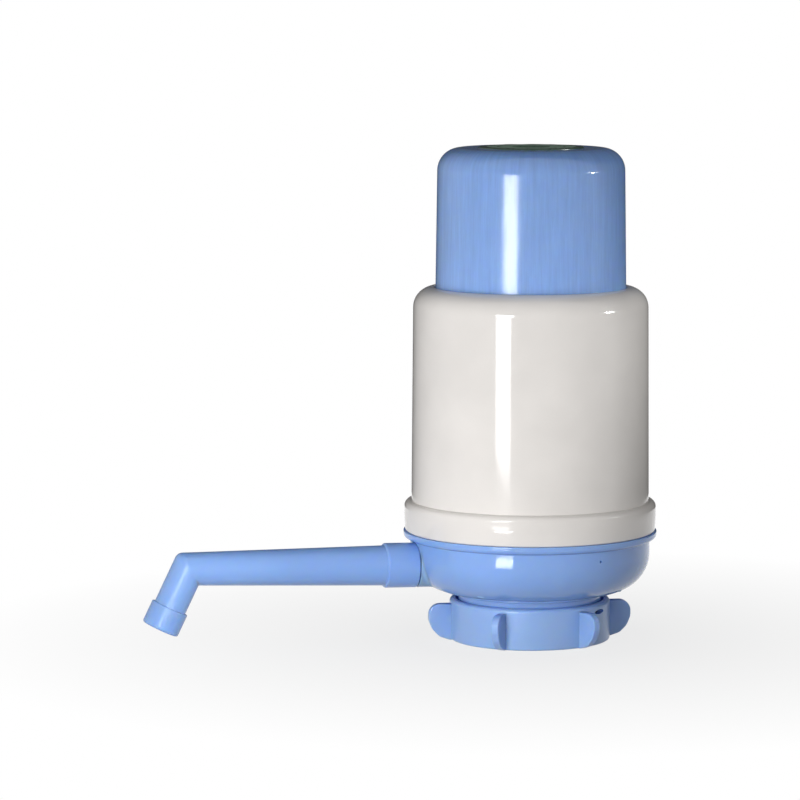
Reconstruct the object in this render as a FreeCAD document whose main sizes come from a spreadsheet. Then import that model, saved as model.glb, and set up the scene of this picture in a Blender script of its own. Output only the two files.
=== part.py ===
"""Hand pump for a water jug, in millimetres.

Z runs up the pump's axis from the underside of the collar nut, and the spout leaves towards -X.
The press cap carries a piston in an air cylinder. The air goes down through the bowl into the jug,
and the water it drives up the dip tube leaves through the duct in the bowl and the spout.
"""

import FreeCAD, Part
import math
import os
import re

import Sketcher
from FreeCAD import Placement, Rotation, Vector

SIZES = {
    # neck of the bowl, which stands over the jug's 55 mm neck
    "neck_bore_r": 28.0,
    "neck_wall": 2.2,
    "neck_foot": 9.5,
    "neck_height": 10.0,
    "shoulder_step": 1.7,
    "shoulder_height": 1.5,
    # screw thread between the neck and the collar nut
    "thread_pitch": 3.0,
    "thread_depth": 0.8,
    "thread_foot_width": 1.4,
    "thread_crest_width": 0.8,
    "thread_gap": 0.2,
    "thread_root": 0.2,
    "neck_thread_start": 1.0,
    "neck_thread_length": 4.0,
    "collar_thread_spare": 1.5,
    # collar nut and its grips
    "collar_wall": 2.6,
    "collar_height": 17.3,
    "collar_floor": 2.4,
    "collar_foot_round": 0.8,
    "collar_top_round": 2.0,
    "grip_count": 6,
    "grip_reach": 9.5,
    "grip_thickness": 3.3,
    "grip_top_drop": 1.9,
    "grip_side_height": 8.1,
    "grip_tail_reach": 2.4,
    "grip_top_round": 4.2,
    "grip_tail_round": 7.0,
    "grip_turn": -6.0,
    # rubber and washer between the collar and the neck
    "ring_side_gap": 0.2,
    "ring_bore_gap": 0.3,
    "washer_thickness": 0.8,
    "grip_ring_height": 4.0,
    "grip_ring_round": 0.8,
    # gasket on the jug's rim
    "gasket_height": 2.0,
    "gasket_hole_r": 21.0,
    "gasket_shelf": 0.4,
    # bowl
    "bowl_wall": 2.2,
    "bowl_floor": 3.0,
    "bowl_round": 16.0,
    "bowl_foot_land": 2.1,
    "bowl_side_height": 21.8,
    "lip_flare": 2.9,
    "lip_proud": 0.3,
    "lip_height": 3.4,
    "spigot_height": 6.8,
    "spigot_gap": 0.1,
    # water duct and the spout's boss
    "duct_r": 4.5,
    "duct_wall": 2.5,
    "post_wall": 2.0,
    "spout_axis_height": 7.83,
    "spout_rise": 1.2,
    "boss_inset": 0.8,
    "boss_depth": 8.0,
    "spot_face_gap": 0.5,
    "nipple_wall": 2.1,
    "nipple_length": 12.0,
    "oring_setback": 4.0,
    "oring_wire_r": 0.53,
    "oring_side_gap": 0.25,
    "oring_gap": 0.02,
    # dip tube adapter
    "tube_socket_r": 5.05,
    "tube_socket_depth": 7.0,
    "adapter_wall": 1.45,
    "adapter_bore_r": 4.0,
    "adapter_flange_step": 1.7,
    "adapter_roof": 0.95,
    "adapter_seal": 0.6,
    # air cup, ports and mushroom valves
    "port_offset": 17.5,
    "cup_r": 6.0,
    "cup_wall": 2.2,
    "cup_drain_r": 3.0,
    "cup_seal": 1.0,
    "plate_thickness": 2.5,
    "port_hole_r": 0.9,
    "port_circle_r": 3.4,
    "port_hole_count": 4,
    "valve_stem_r": 1.5,
    "valve_disc_r": 5.0,
    "valve_disc_height": 1.2,
    "valve_head_r": 2.3,
    "valve_head_height": 1.0,
    "valve_float": 0.8,
    "small_gap": 0.05,
    # air cylinder and its screws
    "cylinder_side_gap": 1.7,
    "cylinder_wall": 2.0,
    "cylinder_spare": 6.0,
    "cylinder_foot": 19.5,
    "flange_side_gap": 3.8,
    "screw_edge": 4.0,
    "screw_count": 4,
    "pillar_r": 2.8,
    "screw_shank_r": 1.25,
    "screw_shank_length": 15.0,
    "screw_head_r": 2.6,
    "screw_head_height": 1.8,
    "screw_hole_spare": 1.5,
    # return spring
    "spring_side_gap": 7.0,
    "spring_wire_r": 1.0,
    "spring_turns": 5.5,
    "spring_length": 58.0,
    # piston
    "piston_gap": 0.4,
    "piston_rim_height": 6.0,
    "piston_rim_wall": 2.2,
    "seal_gap": 0.05,
    "seal_groove_depth": 1.0,
    "seal_height": 2.1,
    "hub_wall": 1.95,
    "hub_height": 5.5,
    "rod_r": 7.0,
    "rod_wall": 2.4,
    "rod_plug": 15.5,
    "piston_screw_shank_r": 1.5,
    "piston_screw_length": 12.0,
    "piston_screw_head_r": 3.6,
    # press cap
    "cap_r": 39.9,
    "cap_taper": 0.8,
    "cap_wall": 2.2,
    "cap_height": 72.8,
    "cap_straight": 15.0,
    "cap_round": 9.5,
    "cap_boss_length": 12.6,
    "label_r": 22.0,
    "label_height": 0.7,
    "label_round": 0.3,
    # stop ring under the shell's guide
    "stop_ring_wall": 3.1,
    "stop_ring_height": 6.8,
    "stop_lip_height": 2.0,
    "stop_gap": 0.2,
    # shell
    "shell_taper": 0.7,
    "shell_wall": 2.2,
    "shell_height": 102.5,
    "shell_round": 8.6,
    "shell_land": 0.3,
    "shell_inner_land": 0.5,
    "band_step": 3.1,
    "band_land": 0.3,
    "band_wall": 3.2,
    "band_height": 12.7,
    "guide_gap": 0.4,
    "guide_wall": 2.2,
    "guide_length": 7.7,
    "breather_r": 0.5,
    "breather_height": 17.7,
    "breather_turn": -71.0,
    # spout
    "bell_gap": 0.3,
    "bell_wall": 2.7,
    "bell_length": 13.8,
    "bell_round": 1.2,
    "bell_bore_gap": 0.05,
    "bell_step": 0.95,
    "spout_bore_r": 5.2,
    "spout_wall": 1.65,
    "elbow_reach": 146.9,
    "nozzle_lean": 26.0,
    "leg_length": 21.45,
    "tip_overlap": 4.0,
    "tip_length": 9.95,
    "tip_step": 1.05,
    "tip_bore_r": 5.0,
}

DERIVED = {
    "neck_r": "neck_bore_r + neck_wall",
    "shoulder_r": "neck_r + shoulder_step",
    "shoulder_z": "neck_foot + neck_height",
    "bowl_z": "shoulder_z + shoulder_height",
    "floor_top": "bowl_z + bowl_floor",
    "gasket_z": "bowl_z - gasket_height",
    "neck_thread_z": "neck_foot + neck_thread_start",
    "collar_bore_r": "neck_r + thread_depth + thread_gap",
    "collar_thread_z": "neck_thread_z - thread_pitch / 2",
    "collar_thread_top": "collar_height - collar_thread_spare - thread_foot_width",
    "collar_r": "collar_bore_r + collar_wall",
    "grip_tip_r": "collar_r + grip_reach",
    "grip_top": "collar_height - grip_top_drop",
    "grip_side_foot": "grip_top - grip_side_height",
    "ring_r": "collar_bore_r - ring_side_gap",
    "ring_bore_r": "neck_bore_r + ring_bore_gap",
    "grip_ring_z": "collar_floor + washer_thickness",
    "crease_z": "bowl_z + bowl_side_height",
    "seam_z": "crease_z + lip_height",
    "guide_r": "cap_r + guide_gap",
    "shell_top_r": "guide_r + shell_land + shell_round",
    "shell_foot_r": "shell_top_r + shell_taper",
    "shell_inner_top_r": "shell_top_r - shell_wall",
    "shell_inner_round": "shell_inner_top_r - guide_r - guide_wall - shell_inner_land",
    "band_r": "shell_foot_r + band_step",
    "band_round": "band_step - band_land",
    "lip_r": "band_r + lip_proud",
    "bowl_r": "lip_r - lip_flare",
    "bowl_bend": "min(bowl_round; bowl_r - shoulder_r - bowl_foot_land)",
    "spigot_r": "band_r - band_wall - spigot_gap",
    "spout_axis_z": "floor_top + spout_axis_height",
    "nipple_r": "duct_r + nipple_wall",
    "adapter_r": "tube_socket_r + adapter_wall",
    "adapter_flange_r": "adapter_r + adapter_flange_step",
    "socket_foot": "gasket_z + small_gap",
    "socket_top": "socket_foot + tube_socket_depth",
    "adapter_top": "socket_top + adapter_roof",
    "adapter_flange_top": "bowl_z - adapter_seal",
    "post_r": "adapter_r + post_wall",
    "post_top": "spout_axis_z + duct_r + duct_wall",
    "cup_outer_r": "cup_r + cup_wall",
    "plate_z": "floor_top + cylinder_foot",
    "plate_top": "plate_z + plate_thickness",
    "cup_top": "plate_z - cup_seal",
    "valve_guide_r": "valve_stem_r + small_gap",
    "screw_bore_r": "screw_shank_r + small_gap",
    "flange_r": "bowl_r - bowl_wall - flange_side_gap",
    "screw_circle_r": "flange_r - screw_edge",
    "screw_foot": "plate_top - screw_shank_length",
    "piston_z": "plate_top + spring_length",
    "piston_top": "piston_z + plate_thickness",
    "cylinder_r": "cap_r - cap_wall - cylinder_side_gap - cylinder_wall",
    "cylinder_top": "piston_z + piston_rim_height + cylinder_spare",
    "spring_r": "cylinder_r - spring_side_gap",
    "piston_r": "cylinder_r - piston_gap",
    "seal_r": "cylinder_r - seal_gap",
    "seal_bottom": "piston_z + (piston_rim_height - seal_height) / 2",
    "rod_bore_r": "rod_r - rod_wall",
    "cap_foot": "guide_foot - stop_gap - stop_ring_height",
    "shell_top": "seam_z + shell_height",
    "guide_foot": "shell_top - guide_length",
    "cap_top_r": "cap_r - cap_taper",
    "cap_top": "cap_foot + cap_height",
    "cap_under": "cap_top - cap_wall",
    "stop_ring_foot": "cap_foot - stop_lip_height",
    "boss_face": "bowl_r - boss_inset",
    "nipple_end": "boss_face + nipple_length",
    "bell_face": "boss_face + bell_gap",
    "bell_bore_r": "nipple_r + bell_bore_gap",
    "bell_r": "bell_bore_r + bell_wall",
    "spout_root_r": "bell_r - bell_step",
    "spout_tip_r": "spout_bore_r + spout_wall",
    "tip_start": "leg_length - tip_overlap",
    "oring_place": "boss_face + oring_setback",
    "oring_r": "bell_bore_r - oring_gap - oring_wire_r",
    "oring_groove_r": "oring_r - oring_wire_r - oring_gap",
    "oring_groove_half": "oring_wire_r + oring_side_gap",
    "spout_bend": "90 - nozzle_lean + spout_rise",
}

NAMES = {**SIZES, **DERIVED}
ALONG_SPOUT = "90 - spout_rise"
DOWN_NOZZLE = "180 - nozzle_lean"

doc = FreeCAD.newDocument("WaterJugPump")
sheet = doc.addObject("Spreadsheet::Sheet", "Sizes")
for row, (alias, value) in enumerate(NAMES.items(), start=1):
    sheet.set(f"A{row}", alias)
    sheet.set(f"B{row}", str(value) if alias in SIZES else "=" + value)
    sheet.setAlias(f"B{row}", alias)
doc.recompute()


def size(text):
    """Value of an expression over the sheet's sizes."""
    return float(sheet.evalExpression(str(text)))


def linked(text):
    """The same expression as another object writes it, with the sheet's name before each size."""
    return re.sub(r"[a-z_]+", lambda word: f"Sizes.{word[0]}" if word[0] in NAMES else word[0], str(text))


def bind(thing, sizes):
    """Tie properties of an object to expressions over the sheet."""
    for name, text in sizes.items():
        thing.setExpression(name, linked(text))


# Outlines and features


def origin_part(body, role):
    return next(item for item in body.Origin.OriginFeatures if item.Role == role)


def piece(label, at=(0, 0, 0), lean=0):
    """A body of its own; lean turns its Z axis from straight up towards -X."""
    body = doc.addObject("PartDesign::Body", label.title().replace("_", ""))
    body.Label = label
    body.Placement = Placement(Vector(), Rotation(Vector(0, -1, 0), 1))
    place = dict(zip(("Placement.Base.x", "Placement.Base.y", "Placement.Base.z"), at))
    bind(body, {**place, "Placement.Rotation.Angle": lean})
    return body


def corner_cut(before, here, after, radius):
    """Start, middle and end of the round in a corner, or the corner itself where it is sharp."""
    if not radius:
        return here, None, here
    back, forth = (before - here).normalize(), (after - here).normalize()
    half = back.getAngle(forth) / 2
    reach = radius / math.tan(half)
    centre = here + (back + forth).normalize() * (radius / math.sin(half))
    return here + back * reach, centre + (here - centre).normalize() * radius, here + forth * reach


def outline(body, name, corners, turn=0, height=0, lean=0):
    """A closed sketch of (across, up) or (across, up, round) corners on the body's XZ plane.

    turn swings the sketch about its upright axis; height and lean lift and tip that axis.
    """
    sketch = body.newObject("Sketcher::SketchObject", name)
    sketch.AttachmentSupport = (origin_part(body, "XZ_Plane"), [""])
    sketch.MapMode = "FlatFace"
    spin_axis = Vector(0, 0, 1) if lean else Vector(0, 1, 0)
    sketch.AttachmentOffset = Placement(Vector(), Rotation(spin_axis, 1))
    bind(sketch, {"AttachmentOffset.Base.y": height, "AttachmentOffset.Rotation.Angle": lean or turn})

    corners = [(*corner, 0)[:3] for corner in corners]
    points = [Vector(size(across), size(up), 0) for across, up, _ in corners]
    radii = [size(radius) for _, _, radius in corners]
    count = len(corners)
    cuts = [corner_cut(points[i - 1], points[i], points[(i + 1) % count], radii[i]) for i in range(count)]
    sides = [
        sketch.addGeometry(Part.LineSegment(cuts[i][2], cuts[(i + 1) % count][0]), False)
        for i in range(count)
    ]
    for i, (across, up, radius) in enumerate(corners):
        spot = round_corner(sketch, sides[i - 1], sides[i], points[i], cuts[i], radius)
        hold(sketch, "DistanceX", spot, across, points[i].x, -2)
        hold(sketch, "DistanceY", spot, up, points[i].y, -1)
    return sketch


def round_corner(sketch, before, after, point, cut, radius):
    """Join two sides, sharp or with a tangent arc, and give back the corner's point."""
    if cut[1] is None:
        sketch.addConstraint(Sketcher.Constraint("Coincident", before, 2, after, 1))
        return after, 1
    start, middle, end = cut
    leftward = (end - start).cross(middle - start).z < 0
    arc = sketch.addGeometry(Part.Arc(*cut) if leftward else Part.Arc(end, middle, start), False)
    first = 1 if leftward else 2
    sketch.addConstraint(Sketcher.Constraint("Tangent", before, 2, arc, first))
    sketch.addConstraint(Sketcher.Constraint("Tangent", arc, 3 - first, after, 1))
    held = sketch.addConstraint(Sketcher.Constraint("Radius", arc, size(radius)))
    bind(sketch, {f"Constraints[{held}]": radius})
    corner = sketch.addGeometry(Part.Point(point), True)
    sketch.addConstraint(Sketcher.Constraint("PointOnObject", corner, 1, before))
    sketch.addConstraint(Sketcher.Constraint("PointOnObject", corner, 1, after))
    return corner, 1


def hold(sketch, kind, spot, text, value, axis):
    """Hold a point at a bound distance from the sketch's origin, or on its axis where that is zero."""
    if abs(value) < 1e-9:
        sketch.addConstraint(Sketcher.Constraint("PointOnObject", *spot, axis))
        return
    held = sketch.addConstraint(Sketcher.Constraint(kind, -1, 1, *spot, value))
    bind(sketch, {f"Constraints[{held}]": text})


def turned(body, name, corners, **place):
    """Revolve an outline about its upright axis."""
    sketch = outline(body, name + "Outline", corners, **place)
    feature = body.newObject("PartDesign::Revolution", name)
    feature.Profile = sketch
    feature.ReferenceAxis = (sketch, ["V_Axis"])
    feature.Angle = 360
    return feature


def solid(body, kind, name, sizes, at=(0, 0, 0), lean=0):
    """Add or cut a plain cylinder, sphere or torus at a point, leaning from +Z towards -X."""
    feature = body.newObject("PartDesign::" + kind, name)
    feature.Placement = Placement(Vector(), Rotation(Vector(0, -1, 0), 1))
    place = dict(zip(("Placement.Base.x", "Placement.Base.y", "Placement.Base.z"), at))
    bind(feature, {**sizes, **place, "Placement.Rotation.Angle": lean})
    return feature


def cylinder(body, name, radius, length, at=(0, 0, 0), lean=0):
    return solid(body, "AdditiveCylinder", name, {"Radius": radius, "Height": length}, at, lean)


def bore(body, name, radius, length, at=(0, 0, 0), lean=0):
    return solid(body, "SubtractiveCylinder", name, {"Radius": radius, "Height": length}, at, lean)


def ring_of(body, feature, count):
    """Repeat a feature about the body's own Z axis."""
    doc.recompute()
    pattern = body.newObject("PartDesign::PolarPattern", feature.Name + "Ring")
    pattern.Originals = [feature]
    pattern.Axis = (origin_part(body, "Z_Axis"), [""])
    pattern.Angle = 360
    bind(pattern, {"Occurrences": count})
    body.Tip = pattern
    return pattern


def thread(body, name, wall_r, outward, foot, length):
    """A right-hand ridge on a round wall, rooted a little way into it."""
    slope = "(thread_foot_width - thread_crest_width) / 2"
    root = f"{wall_r} - {outward} * thread_root"
    crest = f"{wall_r} + {outward} * thread_depth"
    sketch = outline(body, name + "Outline", [
        (root, foot),
        (crest, f"{foot} + {slope}"),
        (crest, f"{foot} + {slope} + thread_crest_width"),
        (root, f"{foot} + thread_foot_width"),
    ])
    ridge = body.newObject("PartDesign::AdditiveHelix", name)
    ridge.Profile = sketch
    ridge.ReferenceAxis = (sketch, ["V_Axis"])
    ridge.Mode = "pitch-height-angle"
    bind(ridge, {"Pitch": "thread_pitch", "Height": length})
    return ridge


def on_screw_circle(height):
    """The first of the cylinder's screws, halfway between two of the bowl's axes."""
    return "screw_circle_r * cos(45)", "screw_circle_r * sin(45)", height


def ports(body, foot, depth):
    """Valve guide hole and the ring of air holes round it."""
    bore(body, "ValveGuide", "valve_guide_r", depth, ("port_offset", 0, foot))
    for index in range(SIZES["port_hole_count"]):
        angle = f"{index} * 360 / port_hole_count"
        at = (f"port_offset + port_circle_r * cos({angle})", f"port_circle_r * sin({angle})", foot)
        bore(body, f"AirHole{index}", "port_hole_r", depth, at)


# Bowl and what it holds


def base_bowl():
    """Neck, floor, side, flared lip and snap spigot, with the water duct and the air cup inside."""
    body = piece("base_bowl")
    turned(body, "Cup", [
        ("neck_bore_r", "neck_foot"),
        ("neck_r", "neck_foot"),
        ("neck_r", "shoulder_z"),
        ("shoulder_r", "shoulder_z"),
        ("shoulder_r", "bowl_z"),
        ("bowl_r", "bowl_z", "bowl_bend"),
        ("bowl_r", "crease_z"),
        ("lip_r", "seam_z"),
        ("spigot_r", "seam_z"),
        ("spigot_r", "seam_z + spigot_height"),
        ("bowl_r - bowl_wall", "seam_z + spigot_height"),
        ("bowl_r - bowl_wall", "floor_top", "bowl_bend - bowl_wall"),
        ("post_r", "floor_top"),
        ("post_r", "post_top"),
        (0, "post_top"),
        (0, "bowl_z"),
        ("neck_bore_r - gasket_shelf", "bowl_z"),
        ("neck_bore_r - gasket_shelf", "gasket_z"),
        ("neck_bore_r", "gasket_z"),
    ])
    at_boss = ("-boss_face * cos(spout_rise)", 0, "spout_axis_z + boss_face * sin(spout_rise)")
    bore(body, "SpotFace", "bell_r + spot_face_gap", "bell_length", at_boss, ALONG_SPOUT)
    turned(body, "SpoutBoss", [
        (0, "boss_face - boss_depth"),
        ("bell_r", "boss_face - boss_depth"),
        ("bell_r", "boss_face"),
        ("nipple_r", "boss_face"),
        ("nipple_r", "oring_place - oring_groove_half"),
        ("oring_groove_r", "oring_place - oring_groove_half"),
        ("oring_groove_r", "oring_place + oring_groove_half"),
        ("nipple_r", "oring_place + oring_groove_half"),
        ("nipple_r", "nipple_end"),
        (0, "nipple_end"),
    ], height="spout_axis_z", lean=ALONG_SPOUT)
    axis_point = (0, 0, "spout_axis_z")
    cylinder(body, "Duct", "duct_r + duct_wall", "boss_face - boss_depth / 2", axis_point, ALONG_SPOUT)
    bore(body, "DuctBore", "duct_r", "nipple_end + duct_wall", axis_point, ALONG_SPOUT)
    bore(body, "PostBore", "duct_r", "spout_axis_z + duct_r - bowl_z", (0, 0, "bowl_z"))
    adapter_depth = "adapter_top - bowl_z + small_gap"
    bore(body, "AdapterBore", "adapter_r + small_gap", adapter_depth, (0, 0, "bowl_z"))

    cup_height = "cup_top - floor_top + bowl_floor / 2"
    cylinder(body, "AirCup", "cup_outer_r", cup_height, ("port_offset", 0, "floor_top - bowl_floor / 2"))
    bore(body, "AirCupBore", "cup_r", "cup_top - floor_top", ("port_offset", 0, "floor_top"))
    bore(body, "AirCupDrain", "cup_drain_r", "bowl_floor", ("port_offset", 0, "bowl_z"))

    pillar = cylinder(body, "Pillar", "pillar_r", "plate_z - floor_top", on_screw_circle("floor_top"))
    ring_of(body, pillar, "screw_count")
    hole_foot = "screw_foot - screw_hole_spare"
    hole = bore(body, "PillarHole", "screw_bore_r", f"plate_z - ({hole_foot})", on_screw_circle(hole_foot))
    ring_of(body, hole, "screw_count")

    breather = body.newObject("PartDesign::SubtractiveCylinder", "Breather")
    sideways = Rotation(Vector(0, 0, 1), size("breather_turn")) * Rotation(Vector(0, 1, 0), 90)
    breather.Placement = Placement(Vector(0, 0, size("bowl_z + breather_height")), sideways)
    breather_place = {"Placement.Base.z": "bowl_z + breather_height"}
    bind(breather, {"Radius": "breather_r", "Height": "lip_r", **breather_place})
    thread(body, "NeckThread", "neck_r", 1, "neck_thread_z", "neck_thread_length")
    return body


def mouth_gasket():
    """Flat ring that the jug's rim presses against."""
    body = piece("mouth_gasket")
    outer = "neck_bore_r - gasket_shelf - small_gap"
    turned(body, "Ring", [
        ("gasket_hole_r", "gasket_z"),
        (outer, "gasket_z"),
        (outer, "bowl_z"),
        ("gasket_hole_r", "bowl_z"),
    ])
    return body


def dip_tube_adapter():
    """Flanged socket pressed into the bowl's post."""
    body = piece("dip_tube_adapter")
    turned(body, "Socket", [
        ("tube_socket_r", "socket_foot"),
        ("adapter_flange_r", "socket_foot"),
        ("adapter_flange_r", "adapter_flange_top"),
        ("adapter_r", "adapter_flange_top"),
        ("adapter_r", "adapter_top"),
        ("adapter_bore_r", "adapter_top"),
        ("adapter_bore_r", "socket_top"),
        ("tube_socket_r", "socket_top"),
    ])
    return body


def adapter_seal():
    """Rubber washer between the adapter's flange and the bowl."""
    body = piece("adapter_seal")
    turned(body, "Ring", [
        ("adapter_r + small_gap", "adapter_flange_top"),
        ("adapter_flange_r", "adapter_flange_top"),
        ("adapter_flange_r", "bowl_z"),
        ("adapter_r + small_gap", "bowl_z"),
    ])
    return body


def delivery_seal():
    """Rubber ring between the air cup and the cylinder's floor."""
    body = piece("delivery_seal", ("port_offset", 0, "cup_top"))
    turned(body, "Ring", [
        ("cup_r", 0),
        ("cup_outer_r", 0),
        ("cup_outer_r", "cup_seal"),
        ("cup_r", "cup_seal"),
    ])
    return body


def spout_oring():
    """Rubber ring in the nipple's groove, which the spout's bell turns on."""
    at = ("-oring_place * cos(spout_rise)", 0, "spout_axis_z + oring_place * sin(spout_rise)")
    body = piece("spout_oring", at, ALONG_SPOUT)
    solid(body, "AdditiveTorus", "Ring", {"Radius1": "oring_r", "Radius2": "oring_wire_r"})
    return body


# Shell, cylinder and spring


def outer_shell():
    """Barrel with a stepped band at its foot and a guide tube for the cap at its top."""
    body = piece("outer_shell")
    turned(body, "Barrel", [
        ("band_r - band_wall", "seam_z"),
        ("band_r", "seam_z"),
        ("band_r", "seam_z + band_height", "band_round"),
        ("shell_foot_r", "seam_z + band_height"),
        ("shell_top_r", "shell_top", "shell_round"),
        ("guide_r", "shell_top"),
        ("guide_r", "guide_foot"),
        ("guide_r + guide_wall", "guide_foot"),
        ("guide_r + guide_wall", "shell_top - shell_wall"),
        ("shell_inner_top_r", "shell_top - shell_wall", "shell_inner_round"),
        ("shell_foot_r - shell_wall", "seam_z + band_height - band_wall"),
        ("band_r - band_wall", "seam_z + band_height - band_wall"),
    ])
    return body


def air_cylinder():
    """Barrel of the pump, with a flange for its screws and the delivery port in its floor."""
    body = piece("air_cylinder")
    turned(body, "Barrel", [
        (0, "plate_z"),
        ("flange_r", "plate_z"),
        ("flange_r", "plate_top"),
        ("cylinder_r + cylinder_wall", "plate_top"),
        ("cylinder_r + cylinder_wall", "cylinder_top"),
        ("cylinder_r", "cylinder_top"),
        ("cylinder_r", "plate_top"),
        (0, "plate_top"),
    ])
    ports(body, "plate_z", "plate_thickness")
    hole = bore(body, "ScrewHole", "screw_bore_r", "plate_thickness", on_screw_circle("plate_z"))
    ring_of(body, hole, "screw_count")
    return body


def cylinder_screws():
    """Pan-head screws through the cylinder's flange into the bowl's pillars."""
    body = piece("cylinder_screws")
    body.AllowCompound = True
    shank = cylinder(body, "Shank", "screw_shank_r", "screw_shank_length", on_screw_circle("screw_foot"))
    head = cylinder(body, "Head", "screw_head_r", "screw_head_height", on_screw_circle("plate_top"))
    doc.recompute()
    pattern = body.newObject("PartDesign::PolarPattern", "ScrewRing")
    pattern.Originals = [shank, head]
    pattern.Axis = (origin_part(body, "Z_Axis"), [""])
    pattern.Angle = 360
    bind(pattern, {"Occurrences": "screw_count"})
    body.Tip = pattern
    return body


def check_valve(label, plate_foot):
    """Mushroom valve that hangs by its head in a port and closes it from below when it lifts."""
    body = piece(label, ("port_offset", 0, plate_foot))
    turned(body, "Mushroom", [
        (0, "-valve_float - valve_disc_height"),
        ("valve_disc_r", "-valve_float - valve_disc_height"),
        ("valve_disc_r", "-valve_float"),
        ("valve_stem_r", "-valve_float"),
        ("valve_stem_r", "plate_thickness"),
        ("valve_head_r", "plate_thickness"),
        ("valve_head_r", "plate_thickness + valve_head_height"),
        (0, "plate_thickness + valve_head_height"),
    ])
    return body


def return_spring():
    """Compression spring between the cylinder's floor and the piston."""
    centre_line = doc.addObject("Part::Helix", "SpringLine")
    centre_line.SegmentLength = 0.5
    rise = "spring_length - 2 * spring_wire_r"
    bind(centre_line, {"Radius": "spring_r", "Height": rise, "Pitch": f"({rise}) / spring_turns"})
    wire = doc.addObject("Part::Circle", "SpringWire")
    wire.Placement = Placement(Vector(), Rotation(Vector(1, 0, 0), 90))
    bind(wire, {"Radius": "spring_wire_r", "Placement.Base.x": "spring_r"})
    doc.recompute()
    coil = doc.addObject("Part::Sweep", "ReturnSpring")
    coil.Label = "return_spring"
    coil.Sections = [wire]
    coil.Spine = (centre_line, [])
    coil.Solid = True
    coil.Frenet = True
    bind(coil, {"Placement.Base.z": "plate_top + spring_wire_r"})
    return coil


# Cap and piston


def press_cap():
    """Round-shouldered cup with a boss inside that centres the piston rod."""
    body = piece("press_cap")
    boss_r = "rod_bore_r - small_gap"
    turned(body, "Cup", [
        ("cap_r - cap_wall", "cap_foot"),
        ("cap_r", "cap_foot"),
        ("cap_r", "cap_foot + cap_straight"),
        ("cap_top_r", "cap_top", "cap_round"),
        (0, "cap_top"),
        (0, "cap_under - cap_boss_length"),
        (boss_r, "cap_under - cap_boss_length"),
        (boss_r, "cap_under"),
        ("cap_top_r - cap_wall", "cap_under", "cap_round - cap_wall"),
        ("cap_r - cap_wall", "cap_foot + cap_straight"),
    ])
    return body


def cap_label():
    """Round disc on the cap's flat top."""
    body = piece("cap_label")
    turned(body, "Disc", [
        (0, "cap_top"),
        ("label_r", "cap_top"),
        ("label_r", "cap_top + label_height", "label_round"),
        (0, "cap_top + label_height"),
    ])
    return body


def cap_stop_ring():
    """Ring round the foot of the cap that stops under the shell's guide tube."""
    body = piece("cap_stop_ring")
    turned(body, "Ring", [
        ("cap_r - cap_wall", "stop_ring_foot"),
        ("cap_r + stop_ring_wall", "stop_ring_foot"),
        ("cap_r + stop_ring_wall", "guide_foot - stop_gap"),
        ("cap_r + small_gap", "guide_foot - stop_gap"),
        ("cap_r + small_gap", "cap_foot"),
        ("cap_r - cap_wall", "cap_foot"),
    ])
    return body


def piston_rod():
    """Tube from the cap down to the piston, with a solid foot for the screw."""
    body = piece("piston_rod")
    pilot_r = "piston_screw_shank_r + small_gap"
    pilot_top = "piston_z + piston_screw_length + screw_hole_spare"
    turned(body, "Tube", [
        (pilot_r, "piston_top"),
        ("rod_r", "piston_top"),
        ("rod_r", "cap_under"),
        ("rod_bore_r", "cap_under"),
        ("rod_bore_r", "piston_top + rod_plug"),
        (0, "piston_top + rod_plug"),
        (0, pilot_top),
        (pilot_r, pilot_top),
    ])
    return body


def piston():
    """Plate with a grooved rim, a hub for the rod and the intake port."""
    body = piece("piston")
    groove_r = "piston_r - seal_groove_depth"
    bore_r = "piston_screw_shank_r + small_gap"
    hub_r = "rod_r + small_gap + hub_wall"
    turned(body, "Plate", [
        (bore_r, "piston_z"),
        ("piston_r", "piston_z"),
        ("piston_r", "seal_bottom - small_gap"),
        (groove_r, "seal_bottom - small_gap"),
        (groove_r, "seal_bottom + seal_height + small_gap"),
        ("piston_r", "seal_bottom + seal_height + small_gap"),
        ("piston_r", "piston_z + piston_rim_height"),
        ("piston_r - piston_rim_wall", "piston_z + piston_rim_height"),
        ("piston_r - piston_rim_wall", "piston_top"),
        (hub_r, "piston_top"),
        (hub_r, "piston_top + hub_height"),
        ("rod_r + small_gap", "piston_top + hub_height"),
        ("rod_r + small_gap", "piston_top"),
        (bore_r, "piston_top"),
    ])
    ports(body, "piston_z", "plate_thickness")
    return body


def piston_seal():
    """Rubber ring in the piston's groove."""
    body = piece("piston_seal")
    inner = "piston_r - seal_groove_depth + small_gap"
    turned(body, "Ring", [
        (inner, "seal_bottom"),
        ("seal_r", "seal_bottom"),
        ("seal_r", "seal_bottom + seal_height"),
        (inner, "seal_bottom + seal_height"),
    ])
    return body


def piston_screw():
    """Screw up through the piston into the rod's foot."""
    body = piece("piston_screw", (0, 0, "piston_z"))
    turned(body, "Screw", [
        (0, "-screw_head_height"),
        ("piston_screw_head_r", "-screw_head_height"),
        ("piston_screw_head_r", 0),
        ("piston_screw_shank_r", 0),
        ("piston_screw_shank_r", "piston_screw_length"),
        (0, "piston_screw_length"),
    ])
    return body


# Collar


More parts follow.
